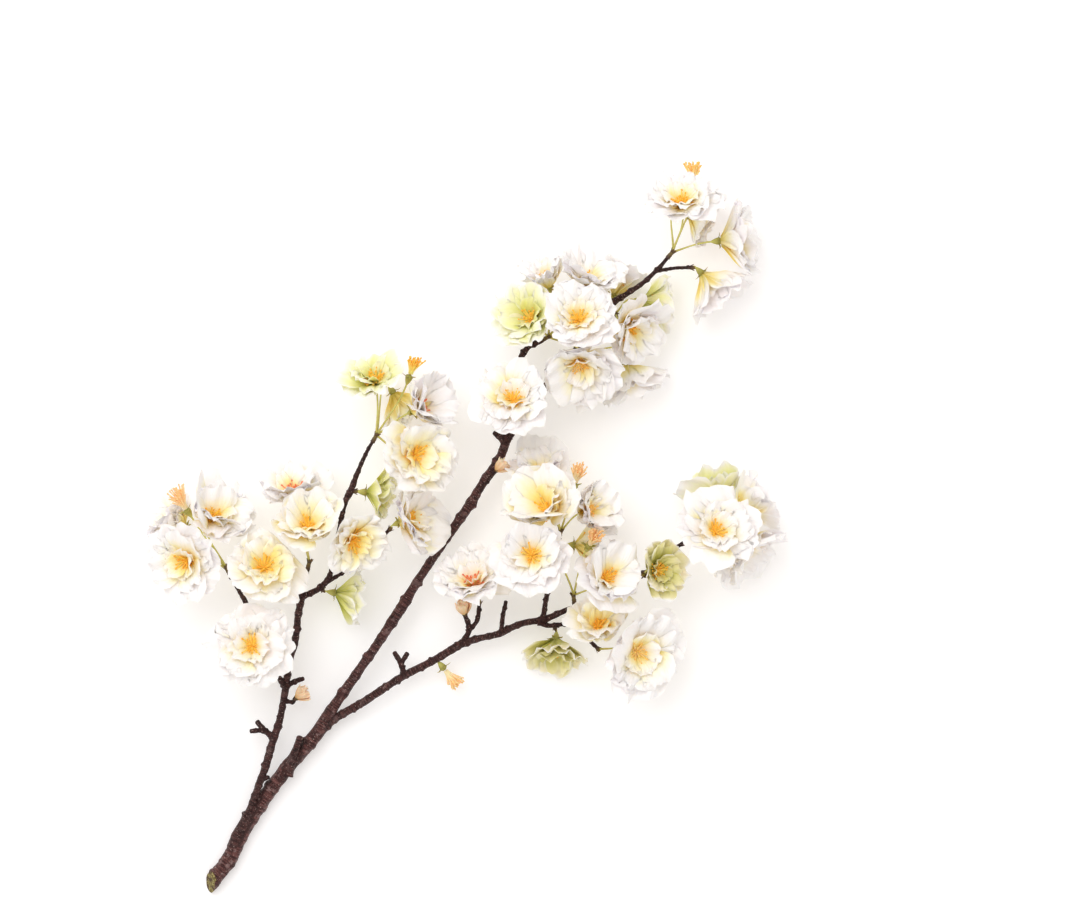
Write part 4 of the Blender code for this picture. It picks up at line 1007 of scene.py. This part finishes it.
CENTRES = {name: cell_centre(name) for name in [*FLOWERS, *TUFTS]}


def walls_round(name, layer):
    """The planes that one layer of a bloom stays behind, as (point, direction) pairs."""
    own, aim = CENTRES[name], aim_of(name)
    walls = []
    for other, centre in CENTRES.items():
        gap = centre - own
        distance = np.linalg.norm(gap)
        if other == name or distance >= NEIGHBOUR_REACH:
            continue
        share = room_of(name) / (room_of(name) + room_of(other))
        normal = gap / distance
        ahead = float(np.dot(normal, aim))
        side = "front" if ahead > AHEAD else "back" if ahead < -AHEAD else "side"
        walls.append((own + gap * share - normal * (CLEARANCE + LAYER_ROOM[layer][side]), normal))
    return walls


print("bloom low_5 has", len(walls_round("low_5", "outer")), "neighbours")

# %% Give way to the neighbours
SOFTNESS = 1.5         # how gently a petal bends away
FIRM_PASSES = 5


def hold_back(points, walls):
    """Move points that are past a wall straight back to it, and off the table."""
    p = points.reshape(-1, 3).copy()
    for _ in range(FIRM_PASSES):
        for centre, normal in walls:
            p -= np.outer(np.maximum((p - centre) @ normal, 0), normal)
        p[:, 2] = np.maximum(p[:, 2], LOWEST + 0.1)
    return p.reshape(points.shape)


def give_way(points, walls, softness=SOFTNESS):
    """Move points back behind every wall, gently first and then firmly."""
    p = points.reshape(-1, 3).copy()
    for centre, normal in walls:
        s = (p - centre) @ normal
        p -= np.outer(softness * np.logaddexp(0, -s / softness) + s, normal)
    return hold_back(p, walls).reshape(points.shape)


print("a point below the table comes back to", hold_back(np.array([0.0, 0, -5]), [])[2], "mm")

# %% [markdown]
# One petal of this blossom is as broad as it is long. It leaves the cup on a narrow claw,
# spreads into a shallow bowl, and ends in a notched, frilled rim. It could be sculpted, but
# here a grid is bent by formulas: the outline first, then the bow of its length, then the
# folds that grow towards the rim. Each petal draws its own numbers, so no two are alike.

# %% The outline of a petal
CLAW = 0.17            # width of a petal at its foot, as a share of its widest
WIDEST_AT = 0.66
TIP_LOW = 0.58         # where the side edges end and the rounded tip begins
FRAYED = 0.026         # how far the rim runs in and out between two points


def any_turn(rng):
    """A random angle of a full circle."""
    return rng.uniform(0, 6.28)


def shares(rows, columns):
    """Shares along and across a leaf."""
    return np.meshgrid(np.linspace(0, 1, rows), np.linspace(-1, 1, columns), indexing="ij")


def petal_width(s):
    rising = CLAW + (1 - CLAW) * np.sin(np.clip(s / WIDEST_AT, 0, 1) * math.pi / 2) ** 1.15
    past = np.clip((s - WIDEST_AT) / (1 - WIDEST_AT), 0, 1.2)
    return rising * (1 - 0.16 * past ** 2)


def petal_tip(rng, v):
    """How long a petal is at each place across it: round, notched, lobed and frayed."""
    notch, where, lobes = rng.uniform(0.02, 0.13), rng.uniform(-0.25, 0.25), rng.uniform(0.02, 0.06)
    return (TIP_LOW + (1 - TIP_LOW) * np.sqrt(1 - np.abs(v) ** 2.8)
            - notch * np.exp(-((v - where) / 0.16) ** 2)
            + lobes * np.cos(v * rng.uniform(6, 9) + rng.uniform(0, 6))
            + rng.uniform(-FRAYED, FRAYED, v.shape[1]))


print("at half its length a petal has", round(float(petal_width(0.5)), 2), "of its full width")

# %% The form of one petal
ARC_SAMPLES = 40
ARC_END = 1.15         # the bow is worked out a little past the tip
STYLES = {
    "outer": {"bow": 0.65, "roll": 0.5, "cup": 1.5, "tilt": 1.3, "ruffle": 1.9, "frill": 1.0,
              "crease": 0.8, "curl": 0.7, "root": 1.2, "seat": -0.7, "reach": 1.0},
    "middle": {"bow": 0.75, "roll": 0.6, "cup": 1.6, "tilt": 1.1, "ruffle": 1.9, "frill": 1.0,
               "crease": 0.8, "curl": 0.9, "root": 1.1, "seat": -0.1, "reach": 0.84},
    "inner": {"bow": 0.6, "roll": 0.7, "cup": 1.6, "tilt": 0.8, "ruffle": 1.4, "frill": 0.8,
              "crease": 0.6, "curl": 1.2, "root": 1.0, "seat": 0.5, "reach": 0.6},
}


def petal_axes(frame, turn):
    """The directions outward and across of a petal that stands at this turn of its stalk."""
    _, direction, side, up = frame
    outward = around(turn, side, up)
    return outward, np.cross(direction, outward)


def petal_folds(rng, style, grow, v):
    """How far each point of a petal is lifted off its middle line."""
    lift = style["cup"] * v ** 2 * grow + style["tilt"] * v * np.clip(2.2 * grow, 0, 1)
    folds = rng.uniform(1.9, 3.2)
    lift = lift + style["ruffle"] * grow ** 1.7 * np.sin(
        folds * math.pi * v + any_turn(rng) + 0.8 * np.sin(2.1 * v + any_turn(rng)))
    lift = lift + style["frill"] * grow ** 5 * np.sin(
        rng.uniform(5.0, 6.6) * math.pi * v + any_turn(rng))
    lift = lift - style["crease"] * np.exp(-(v / 0.2) ** 2) * np.sin(np.clip(grow, 0, 1) * 2.6)
    edge = rng.choice([-1.0, 1.0])
    return lift + style["curl"] * rng.uniform(0, 1) * np.clip(edge * v - 0.35, 0, 1) ** 2 * grow * 6


def draw_petal(rng, frame, turn, length, wide, rise, style, size):
    """The middle surface of a free petal, and its tags (along, across, shade)."""
    base, direction = frame[:2]
    outward, across = petal_axes(frame, turn)
    u, v = shares(*size)
    v = v * (1.25 - 0.25 * v * v)      # closer columns towards the edges
    s = u * petal_tip(rng, v)
    x = v * petal_width(s) * length * wide / 2
    x = x * (1 + rng.uniform(-0.12, 0.12) * v)
    table = np.linspace(0, ARC_END, ARC_SAMPLES)
    angle = rise + style["bow"] * (0.45 - table) - style["roll"] * np.maximum(table - 0.72, 0)
    step = table[1] * length
    out = np.concatenate([[0], np.cumsum(np.cos(angle[:-1]) * step)])
    high = np.concatenate([[0], np.cumsum(np.sin(angle[:-1]) * step)])
    grow = np.clip(s, 0, ARC_END)
    lift = petal_folds(rng, style, grow, v)
    sway = rng.uniform(-0.12, 0.12) * length * grow ** 2
    here = np.interp(s, table, angle)[..., None]
    normal = direction * np.cos(here) - outward * np.sin(here)
    middle = (base + outward * (style["root"] + np.interp(s, table, out))[..., None]
              + direction * (style["seat"] + np.interp(s, table, high))[..., None]
              + across * (x + sway)[..., None] + normal * lift[..., None])
    return middle, tag_rows(s * style["reach"], v, rng.uniform(0, 1))


print("a petal is widest at", WIDEST_AT, "of its length")

# %% [markdown]
# A bloom is three layers of such petals, each steeper and shorter than the one behind it.
# Before a petal is drawn, it is tried at several heights and lengths, and it takes the one
# that clears its neighbours best: crowded petals stand up or lie back, as they do in life.

# %% Let a petal find its room
STEPS = (0, 1, -1, 2, -2, 3, -3, 4, 5, 6)
STEP_ANGLE = math.radians(8)
CUTS = (1.0, 0.94, 0.88)
CORNERS = ((1, 0), (0.93, 0.6), (0.93, -0.6), (0.6, 1), (0.6, -1))    # along and aside
BENT_BACK = 2.2        # what may reach past a wall, to be bent back
PRICES = (3, 0.8, 1.6)    # of a mm past that, of a step up or down and of a cut


def settle(frame, turn, length, wide, rise, limits, walls):
    """The rise and the length with which a petal clears its neighbours best."""
    base, direction = frame[:2]
    outward, across = petal_axes(frame, turn)
    best = None
    for cost, cut in enumerate(CUTS):
        for step in STEPS:
            tried = rise + step * STEP_ANGLE
            if not limits[0] <= tried <= limits[1]:
                continue
            reach = length * cut
            out = outward * math.cos(tried) + direction * math.sin(tried)
            tests = np.array([base + out * reach * along + across * aside * reach * wide / 2
                              for along, aside in CORNERS])
            worst = max(((tests - centre) @ normal).max() for centre, normal in walls)
            worst = max(worst, -tests[:, 2].min())
            price = (max(worst - BENT_BACK, 0) * PRICES[0] + abs(step) * PRICES[1]
                     + cost * PRICES[2])
            if best is None or price < best[0]:
                best = (price, tried, reach)
    return best[1], best[2]


print("a petal is tried in up to", len(STEPS) * len(CUTS), "ways")

# %% How a bloom is turned
TURN_STEP = 0.35
TURNS = 9


def flower_frame(name):
    """Where a bloom sits, how it faces, and the turn of its first petal."""
    direction = aim_of(name)
    start = TURN_STEP * (sum(ord(c) for c in name) % TURNS)
    return (np.array(spot_of(name).where, dtype=float), direction, *square_to(direction)), start


def own_numbers(name, family, weight):
    """Random numbers that belong to a name, the same in each run."""
    letters = sum(ord(c) * (i + weight) for i, c in enumerate(name))
    return np.random.default_rng(SEED * family + letters)


print("the first petal of low_5 is turned by", round(flower_frame("low_5")[1], 2), "radians")

# %% Grow a whole bloom
PETALS = 5
LARGE = 23             # blooms with longer petals have one more in the outer and middle layers
WAVE_STEP = 3.1
STAGGER = {"outer": 0.0, "middle": 0.5, "inner": 0.3}    # turned against the layer behind
RISES = {"outer": (1.10, 0.16), "middle": (1.18, 0.48), "inner": (1.26, 0.76)}
SHARES = {"outer": 1.10, "middle": 0.90, "inner": 0.64}
WIDTHS = {"outer": 1.20, "middle": 1.12, "inner": 0.98}
LIMITS = {"outer": (0.03, 1.10), "middle": (0.25, 1.30), "inner": (0.5, 1.45)}
GRIDS = {"outer": (15, 19), "middle": (13, 17), "inner": (11, 13)}
PETAL_THICKNESS = 0.26
CRINKLE = 0.45


def grow_bloom(form, name):
    """All petals of one bloom."""
    length, bloom = length_of(name), FLOWERS[name]
    frame, start = flower_frame(name)
    rng = own_numbers(name, 1000, 1)
    for layer in STYLES:
        walls = walls_round(name, layer)
        edge_walls = [(centre + normal * CRINKLE, normal) for centre, normal in walls]
        count = PETALS + (length > LARGE) if layer != "inner" else max(4, bloom.heart)
        for k in range(count):
            turn = start + 2 * math.pi * (k + 0.5 + STAGGER[layer]) / count
            turn += rng.uniform(-0.13, 0.13)
            wave = math.sin(WAVE_STEP * k + start)
            rise = blend(*RISES[layer], bloom.open) + 0.12 * wave + rng.uniform(-0.15, 0.15)
            reach = length * SHARES[layer] * (1 + 0.05 * wave + rng.uniform(-0.10, 0.08))
            wide = WIDTHS[layer] * rng.uniform(0.92, 1.08)
            rise = min(max(rise, LIMITS[layer][0]), LIMITS[layer][1])
            rise, reach = settle(frame, turn, reach, wide, rise, LIMITS[layer], walls)
            middle, tags = draw_petal(rng, frame, turn, reach, wide, rise, STYLES[layer],
                                      GRIDS[layer])
            middle = give_way(middle, walls)
            crinkle = np.sin(tags[..., 1:2] * 9 + any_turn(rng))
            middle = middle + CRINKLE * tags[..., :1] ** 2 * crinkle * frame[1]
            add_blade(form, hold_back(middle, edge_walls), PETAL_THICKNESS, tags)


print("a fully open bloom has outer petals that rise", RISES["outer"][1], "radians")

# %% [markdown]
# A petal is thin enough to glow. Its foot is yellow-green, then cream, and its rim is painted
# a clean white, a painted highlight as if the frilled edge caught the light. The colour follows
# the tag along the petal, faint streaks fan out from the claw with painted shade, a lilac grey,
# in the hollows between them, and light passes under the surface, about as far as a petal is
# thick. The same recipe makes four tints: white, cream, the greenish blooms that open last,
# and leafy ones.

# %% Petal finishes
PETAL_TONES = {
    "white": [(0.00, (234, 214, 112)), (0.18, (252, 233, 158)), (0.36, (253, 245, 220)),
              (0.56, (249, 247, 247)), (1.0, (247, 245, 252))],
    "cream": [(0.00, (232, 210, 104)), (0.22, (252, 231, 148)), (0.46, (253, 243, 206)),
              (0.72, (250, 247, 241)), (1.0, (248, 246, 251))],
    "leafy": [(0.00, (150, 152, 52)), (0.24, (192, 190, 88)), (0.50, (216, 212, 138)),
              (0.80, (236, 230, 188)), (1.0, (242, 236, 212))],
    "green": [(0.00, (184, 186, 76)), (0.24, (220, 220, 126)), (0.50, (238, 238, 182)),
              (0.80, (248, 248, 228)), (1.0, (250, 250, 246))],
}
COLOUR_SHIFT = 0.36      # takes the mean of the three noises off the place along the petal


def petal_material(tint):
    petal = Recipe("petal_" + tint)
    tag = petal.tag()
    along, across, shade = tag
    cloud = petal.noise(petal.where(), 170.0, 2.0)
    streak = petal.noise(petal.stretched(tag, 1.1, 4.2, 37.0), 2.2, 3.0, 0.62)
    position = along
    for part, share in ((cloud, 0.24), (streak, 0.20), (shade, 0.22)):
        position = petal.maths("MULTIPLY_ADD", part, share, position)
    colour = petal.ramp(petal.maths("SUBTRACT", position, COLOUR_SHIFT), *PETAL_TONES[tint])
    blush = petal.times(petal.ramp(shade, (0.55, 0.0), (0.95, 0.30)),
                        petal.ramp(cloud, (0.35, 0.0), (0.65, 1.0)))
    colour = petal.mix(blush, colour, (250, 236, 224))
    # Painted shade: where the streaks lie low, in the hollows between the pleats that the bump
    # draws, the colour is mixed towards a lilac grey.
    colour = petal.mix(petal.ramp(streak, (0.28, 0.22), (0.46, 0.0)), colour, (238, 226, 226))
    # Painted highlight: towards the side edges and the tip, away from the foot, the colour is mixed
    # to a clean cool white, as if the frilled rim caught the light.
    rim = petal.ramp(petal.maths("ABSOLUTE", across), (0.80, 0.0), (0.96, 0.8))
    rim = petal.mix(1.0, rim, petal.ramp(along, (0.86, 0.0), (0.97, 0.9)), how="LIGHTEN")
    rim = petal.times(rim, petal.ramp(along, (0.3, 0.0), (0.6, 1.0)))
    colour = petal.mix(rim, colour, (252, 252, 255))
    petal.set(Base_Color=colour, Roughness=0.55, Subsurface_Weight=0.85,
              Subsurface_Scale=0.0003, Subsurface_Radius=[0.92, 0.95, 1.0],
              Specular_IOR_Level=0.3, Sheen_Weight=0.1, Sheen_Roughness=0.4)
    petal.bump(streak, 0.0009, 0.7)
    return petal.material


PETAL_FINISH = {tint: petal_material(tint) for tint in PETAL_TONES}
print(len(PETAL_FINISH), "petal finishes")

# %% [markdown]
# Now every bloom is grown and placed. A few blooms look whiter or greener in the photograph
# than the tint in their table says, so they have a tint of their own.

# %% Dress the blooms
OWN_TINT = {"low_3": "white", "low_6": "white", "low_4": "white", "upper_8": "white",
            "upper_6": "white", "mid_6": "white", "low_9": "leafy", "low_11": "leafy"}
for name, flower in FLOWERS.items():
    petals = Form()
    grow_bloom(petals, name)
    finish = PETAL_FINISH[OWN_TINT.get(name, flower.tint)]
    petals.make("bloom_" + name, [finish], "petal_" + flower.tint, "petals_" + name)
print("triangles in the blooms:", triangles("bloom"))

# %% [markdown]
# Under each bloom a thin stalk swells into a small green bell with five narrow sepals. The
# bell is a turned form, a row of ribbed rings; a sepal is a blade that a bloom's neighbours
# press like its petals; and a stalk is a tube on a curve from its knot to its bell.

# %% Bells and sepals
BELL = [(0.0, 0.72), (0.12, 1.0), (0.35, 1.55), (0.6, 2.0), (0.85, 2.25), (1.0, 2.1), (1.12, 1.5),
        (1.2, 0.8)]                  # (share of the bell's length, radius)
BELL_RIBS = 10
RIB_HEIGHT = 0.05
SEPAL_LENGTH = 4.2
SEPAL_FOOT = 1.7                     # from the stalk's middle to a sepal's foot
SEPAL_DROP = 0.5
SEPAL_HALF = 1.0
SEPAL_GRID = (9, 5)
SEPAL_THICKNESS = 0.34


def bell_foot(frame):
    return frame[0] - frame[1] * (RING_HALF + AIR + CALYX_LENGTH)


def add_bell(form, frame, start):
    """The ribbed green cup under the petals."""
    _, direction, side, up = frame
    sides = 2 * BELL_RIBS
    ridge = np.cos(np.arange(sides) * math.pi)
    ring = around(turns(sides) + start, side, up)
    points = np.array([bell_foot(frame) + direction * share * CALYX_LENGTH
                       + ring * (radius * (1 + RIB_HEIGHT * ridge))[:, None]
                       for share, radius in BELL])
    height = np.linspace(0, 1, len(BELL))[:, None]
    form.add(points, tag_rows(1 + height, ridge, 0), tube_faces(len(BELL), sides))


def add_sepals(form, frame, start, walls):
    """Five narrow sepals that spread from the bell under the petals."""
    base, direction = frame[:2]
    for k in range(PETALS):
        outward, across = petal_axes(frame, start + 2 * math.pi * (k + 0.5) / PETALS)
        u, v = shares(*SEPAL_GRID)
        half_width = SEPAL_HALF * (0.85 + 0.4 * np.sin(u * 2.4)) * (1 - u ** 2.2) + 0.06
        height = -RING_HALF - AIR - 0.9 + 0.9 * np.sin(u * 2.0) - SEPAL_DROP * u ** 2
        lift = -0.35 * v ** 2 * (1 - u)
        middle = (base + outward * (SEPAL_FOOT + SEPAL_LENGTH * u)[..., None]
                  + direction * (height + lift)[..., None] + across * (v * half_width)[..., None])
        add_blade(form, give_way(middle, walls), SEPAL_THICKNESS, tag_rows(2 + u, v, 0.1 * k))


print("a bell has", len(BELL), "rings of", 2 * BELL_RIBS, "points")

# %% Stalks
STALK_RADII = (0.72, 0.52, 0.6)     # at the knot, halfway and under the bell
STALK_PULL = 12
STALK_STEP = 1.6
STALK_SIDES = 8


def add_stalk(form, frame, root):
    """A thin stalk from its root to the foot of the bell."""
    foot, direction = bell_foot(frame), frame[1]
    distance = np.linalg.norm(foot - root)
    end_pull = foot - direction * min(distance * 0.45, STALK_PULL)
    count = max(6, int(distance / STALK_STEP))
    path = arc_between(root, blend(root, foot, 0.35), end_pull, foot + direction * 0.4, count)
    t = np.linspace(0, 1, count)
    add_tube(form, path, np.interp(t, (0, 0.5, 1), STALK_RADII), STALK_SIDES, tag_rows(t, 0, 0.5))


print("a stalk is", 2 * min(STALK_RADII), "mm thick at its thinnest")

# %% [markdown]
# The stalks of a cluster part from one short shoot, brown where it leaves the bark. The
# scales of the winter bud that it grew from still stand round it like a small collar. A
# single bloom's stalk, or a closed bud, has a shorter shoot and fewer scales.

# %% Shoots and their scales
SHOOT_RADII = (1.55, 1.15)
SHOOT_RINGS = 12
SHOOT_SIDES = 12
SHORT_SHOOT = 2.2                    # length of a single stalk's shoot
SHORT_RADII = (1.2, 1.25, 1.1, 0.95, 0.7)
SCALE_COUNTS = (6, 4)                # round a cluster's shoot, and round a single one
SCALE_GRID = (6, 5)
SCALE_THICKNESS = 0.3


def add_scale(form, origin, frame, turn):
    """One scale of the winter bud."""
    direction = frame[1]
    outward, across = petal_axes(frame, turn)
    u, v = shares(*SCALE_GRID)
    half_width = 0.95 * np.sin(0.5 + u * 2.4) + 0.05
    reach = 0.9 + 0.9 * u + 0.5 * u ** 2
    middle = (origin + direction * (-1.4 + 3.4 * u)[..., None]
              + outward * (reach - 0.25 * v ** 2)[..., None]
              + across * (v * half_width)[..., None])
    add_blade(form, middle, SCALE_THICKNESS, tag_rows(-1 + 0.4 * u, v, 0))


def add_shoot(form, start, knot, direction):
    """The short brown shoot of a cluster, or of a single stalk where there is no knot."""
    if knot is None:
        radii = np.array(SHORT_RADII)
        path = np.linspace(start, start + direction * SHORT_SHOOT, len(radii))
        origin, scales = start, SCALE_COUNTS[1]
    else:
        path = np.linspace(start, knot + direction * 1.2, SHOOT_RINGS)
        waves = 1 + 0.08 * np.sin(np.arange(SHOOT_RINGS) * 1.9)
        radii = np.linspace(*SHOOT_RADII, SHOOT_RINGS) * waves
        radii[-1] *= 0.5
        origin, scales = knot, SCALE_COUNTS[0]
    add_tube(form, path, radii, SHOOT_SIDES, tag_rows(np.linspace(-1, -0.3, len(path)), 0, 0))
    frame = (origin, direction, *square_to(direction))
    for k in range(scales):
        add_scale(form, origin, frame, 2 * math.pi * k / scales + 0.4 * (k % 2))


print("a cluster's shoot has", SCALE_COUNTS[0], "scales")

# %% [markdown]
# The stamens make the bright heart of a bloom: a tuft of more than forty threads, yellow at
# the foot and orange at the tip, where each bears a small anther. They are spread by the
# golden angle, as seeds are, so the tuft is even without being regular.

# %% Stamens
GOLDEN = math.pi * (3 - math.sqrt(5))
STAMEN_COUNT = 44
STAMEN_SHARE = 0.36              # length of the threads against that of the petals
STAMEN_MORE = 1.2
STAMEN_SPREAD = (0.28, 0.80)     # in a closed and in an open bloom
TUFT_SPREAD = 0.22
TUFT_SHARE = 1.3                 # the threads of a bare tuft against its plain solid
STAMEN_SOFTNESS = 0.8
THREAD_POINTS = 6
THREAD_SIDES = 4
THREAD_RADII = (0.46, 0.44, 0.40, 0.32)
ANTHER_PROFILE = [(-0.75, 0.25), (-0.25, 0.60), (0.35, 0.54), (0.75, 0.16)]
ANTHER_SIDES = 5


def add_stamens(form, name, walls):
    """All threads of one bloom or bare tuft, each with its anther."""
    base, direction, side, up = flower_frame(name)[0]
    length, spread = spot_of(name).length * TUFT_SHARE, TUFT_SPREAD
    if name in FLOWERS:
        length = STAMEN_SHARE * FLOWERS[name].length + STAMEN_MORE
        spread = blend(*STAMEN_SPREAD, FLOWERS[name].open)
    rng = own_numbers(name, 77, 2)
    t = np.linspace(0, 1, THREAD_POINTS)
    radii = np.interp(t, (0, 0.4, 0.8, 1), THREAD_RADII)
    for k in range(STAMEN_COUNT):
        share = math.sqrt((k + 0.5) / STAMEN_COUNT)
        outward = around(k * GOLDEN + rng.uniform(-0.2, 0.2), side, up)
        across = np.cross(direction, outward)
        lean = spread * 1.5 * share + rng.uniform(-0.05, 0.05)
        reach = length * rng.uniform(0.62, 1.12)
        aim = direction * math.cos(lean) + outward * math.sin(lean)
        root = base + direction * 0.4 + outward * 1.15 * share
        bend = outward * rng.uniform(-0.6, 1.3) + across * rng.uniform(-0.8, 0.8)
        path = arc_between(root, root + direction * reach * 0.35,
                           root + aim * reach * 0.7 + bend * 0.5, root + aim * reach + bend,
                           THREAD_POINTS)
        path = give_way(path, walls, STAMEN_SOFTNESS)
        shade = rng.uniform(0, 1)
        add_tube(form, path, radii, THREAD_SIDES, tag_rows(t, shade, 0))
        tip_aim = unit(unit(path[-1] - path[-2]) + across * rng.uniform(-1, 1))
        anther = np.array([path[-1] + tip_aim * along for along, _ in ANTHER_PROFILE])
        add_tube(form, anther, [radius for _, radius in ANTHER_PROFILE], ANTHER_SIDES,
                 tag_rows(1.3, shade, 1))


print("a heart has", STAMEN_COUNT, "stamens")

# %% [markdown]
# A stalk's colour follows its tag from brown at the bark to olive, and its sepals are a
# little greener. The threads come in four colours, since some hearts in the photograph are
# coral or pale, and bare tufts have faded to peach.

# %% Finishes of stalks and stamens
THREAD_TONES = {
    "golden": [(0.0, (244, 230, 140)), (0.35, (255, 233, 134)), (0.7, (255, 221, 104)),
               (0.9, (255, 206, 80)), (1.0, (255, 192, 66))],
    "pale": [(0.0, (250, 240, 200)), (0.5, (254, 238, 186)), (0.8, (255, 226, 150)),
             (0.92, (255, 210, 112)), (1.0, (255, 204, 110))],
    "coral": [(0.0, (240, 222, 150)), (0.4, (255, 222, 164)), (0.7, (250, 184, 130)),
              (0.9, (240, 140, 104)), (1.0, (236, 126, 92))],
    "peach": [(0.0, (250, 230, 182)), (0.4, (255, 233, 190)), (0.75, (255, 222, 164)),
              (0.9, (254, 206, 138)), (1.0, (254, 212, 152))],
}
STALK_TONES = [(0.02, (66, 44, 30)), (0.17, (126, 108, 52)), (0.25, (190, 184, 92)),
               (0.38, (218, 216, 132)), (0.50, (208, 206, 116)), (0.62, (172, 166, 82)),
               (0.78, (148, 146, 70)), (0.95, (168, 160, 84))]
STALK_SPAN = 4.0       # from the bark, tag -1, to the tip of a sepal, tag 3


def stalk_material():
    stalk = Recipe("green_stalk")
    tag = stalk.tag()
    cloud = stalk.noise(stalk.where(), 420.0, 3.0)
    position = stalk.maths("MULTIPLY_ADD", cloud, 0.3, stalk.maths("ADD", tag[0], 0.85))
    colour = stalk.ramp(stalk.maths("DIVIDE", position, STALK_SPAN), *STALK_TONES)
    streak = stalk.noise(stalk.stretched(tag, 1, 3.0, 1), 5.0, 2.0)
    colour = stalk.mix(stalk.ramp(streak, (0.55, 0.0), (0.75, 0.35)), colour, (140, 96, 58))
    stalk.set(Base_Color=colour, Roughness=0.48, Subsurface_Weight=0.12,
              Subsurface_Scale=0.001, Specular_IOR_Level=0.4)
    stalk.bump(cloud, 0.0004)
    return stalk.material


def thread_material(kind):
    thread = Recipe("stamens_" + kind)
    along, shade, _ = thread.tag()
    grain = thread.noise(thread.where(), 900.0, 2.0)
    position = thread.maths("MULTIPLY_ADD", shade, 0.22, thread.times(along, 0.72))
    colour = thread.ramp(thread.maths("MULTIPLY_ADD", grain, 0.12, position), *THREAD_TONES[kind])
    thread.set(Base_Color=colour, Roughness=0.5, Subsurface_Weight=0.2, Subsurface_Scale=0.0008)
    thread.bump(grain, 0.0003)
    return thread.material


STALK = stalk_material()
THREADS = {kind: thread_material(kind) for kind in THREAD_TONES}
print(len(THREADS), "colours of thread")

# %% [markdown]
# Last, every cluster, every single bloom and the bare tuft on the wood get their stalks,
# bells, sepals and stamens. Stamens of one colour in one cluster are one piece, so that each
# piece has one finish.

# %% Dress every cluster and every single bloom
HEARTS = {"mid_2": "coral", "low_6": "coral", "mid_11": "coral", "tuft_tip": "pale",
          "upper_5": "pale", "low_10": "pale", "low_3": "pale", "tuft_crest": "golden"}
SHOOT_BACK = 0.5       # how far a shoot starts before the place where it leaves the wood


def dress_stamens(label, members, node):
    """The tufts of a cluster, one piece for each colour of thread."""
    kinds = {}
    for name in members:
        kind = HEARTS.get(name) or ("peach" if name in TUFTS else "golden")
        layer = "tuft" if name in TUFTS else "stamens"
        add_stamens(kinds.setdefault(kind, Form()), name, walls_round(name, layer))
    for kind, form in kinds.items():
        form.make(f"stamens_{kind}_{label}", [THREADS[kind]], "green_stalk", node)


def dress_stems(stems, label, members, root, node):
    """Stalks, bells and sepals from one root, then the stamens."""
    for name in members:
        frame, start = flower_frame(name)
        add_stalk(stems, frame, root)
        add_bell(stems, frame, start)
        add_sepals(stems, frame, start, walls_round(name, "sepals"))
    stems.make("stems_" + label, [STALK], "green_stalk", node)
    dress_stamens(label, members, node)


for label, (wood, knot, members) in CLUSTERS.items():
    _, start, direction = carrier(wood, knot)
    knot = start + direction * KNOT_REACH if knot is None else np.array(knot, dtype=float)
    stems = Form()
    add_shoot(stems, start - direction * SHOOT_BACK, knot, direction)
    dress_stems(stems, label, members, knot, "stalks_" + label)

for name, wood in SINGLES.items():
    _, start, direction = carrier(wood, calyx_foot(name))
    stems = Form()
    add_shoot(stems, start - direction * SHOOT_BACK, None, direction)
    dress_stems(stems, name, [name], start, "petals_" + name)

for name, root in WOOD_TUFTS.items():
    dress_stems(Form(), name, [name], np.array(root, dtype=float), "wood")
print("triangles in stalks and stamens:", triangles("stems", "stamens"))

# %% [markdown]
# Three buds never opened. Their petals are still folded over each other in a soft peach
# ball on a short brown foot. The petal maker draws them too: nearly upright, closed at the
# top, with only small frills.

# %% Closed buds
BUD_STYLE = {"bow": -0.5, "roll": -0.6, "cup": 0.7, "tilt": 0.4, "ruffle": 0.5, "frill": 0.4,
             "crease": 0.4, "curl": 0.5, "root": 0.6, "seat": 0.2, "reach": 1.0}
# Petals in a layer, their length against the bud's, and how steeply they rise.
BUD_LAYERS = ((7, 1.15, 0.98), (7, 1.22, 1.14), (6, 1.25, 1.3), (5, 1.2, 1.46))
BUD_GRID = (11, 9)
BUD_THICKNESS = 0.24
BUD_SINK = 0.4


def bud_material():
    bud = Recipe("bud_peach")
    cloud = bud.noise(bud.where(), 500.0, 3.0)
    position = bud.maths("MULTIPLY_ADD", cloud, 0.25, bud.maths("SUBTRACT", bud.tag()[0], 0.12))
    colour = bud.ramp(position, (0.0, (176, 132, 70)), (0.25, (228, 176, 116)),
                      (0.6, (242, 202, 160)), (1.0, (248, 220, 190)))
    bud.set(Base_Color=colour, Roughness=0.6, Subsurface_Weight=0.25, Subsurface_Scale=0.001,
            Sheen_Weight=0.2)
    bud.bump(cloud, 0.0005)
    return bud.material


BUD_FINISH = bud_material()
for number, (name, (where, aim, length)) in enumerate(WOOD_BUDS.items()):
    direction = facing(*aim)
    foot = np.array(where, dtype=float) - direction * BUD_SINK
    frame = (foot, direction, *square_to(direction))
    rng = np.random.default_rng(SEED * 5 + number)
    form = Form()
    form.finish = 1
    add_shoot(form, foot, None, direction)
    form.finish = 0
    for layer, (count, share, rise) in enumerate(BUD_LAYERS):
        for k in range(count):
            turn = 2 * math.pi * (k + 0.5 * layer) / count + rng.uniform(-0.2, 0.2)
            reach = length * share * rng.uniform(0.85, 1.1)
            middle, tags = draw_petal(rng, frame, turn, reach, rng.uniform(0.42, 0.6),
                                      rise, BUD_STYLE, BUD_GRID)
            add_blade(form, middle, BUD_THICKNESS, tags)
    form.make(name, [BUD_FINISH, STALK], "petal_cream", "wood")
print("triangles in the buds:", triangles("bud"))

# %% [markdown]
# Last, the finished pieces are counted, with their triangles.

# %% Measure and finish
print("pieces:", len(triangle_counts), "triangles:", sum(triangle_counts.values()))
print("largest pieces:", sorted(((n, p) for p, n in triangle_counts.items()), reverse=True)[:4])
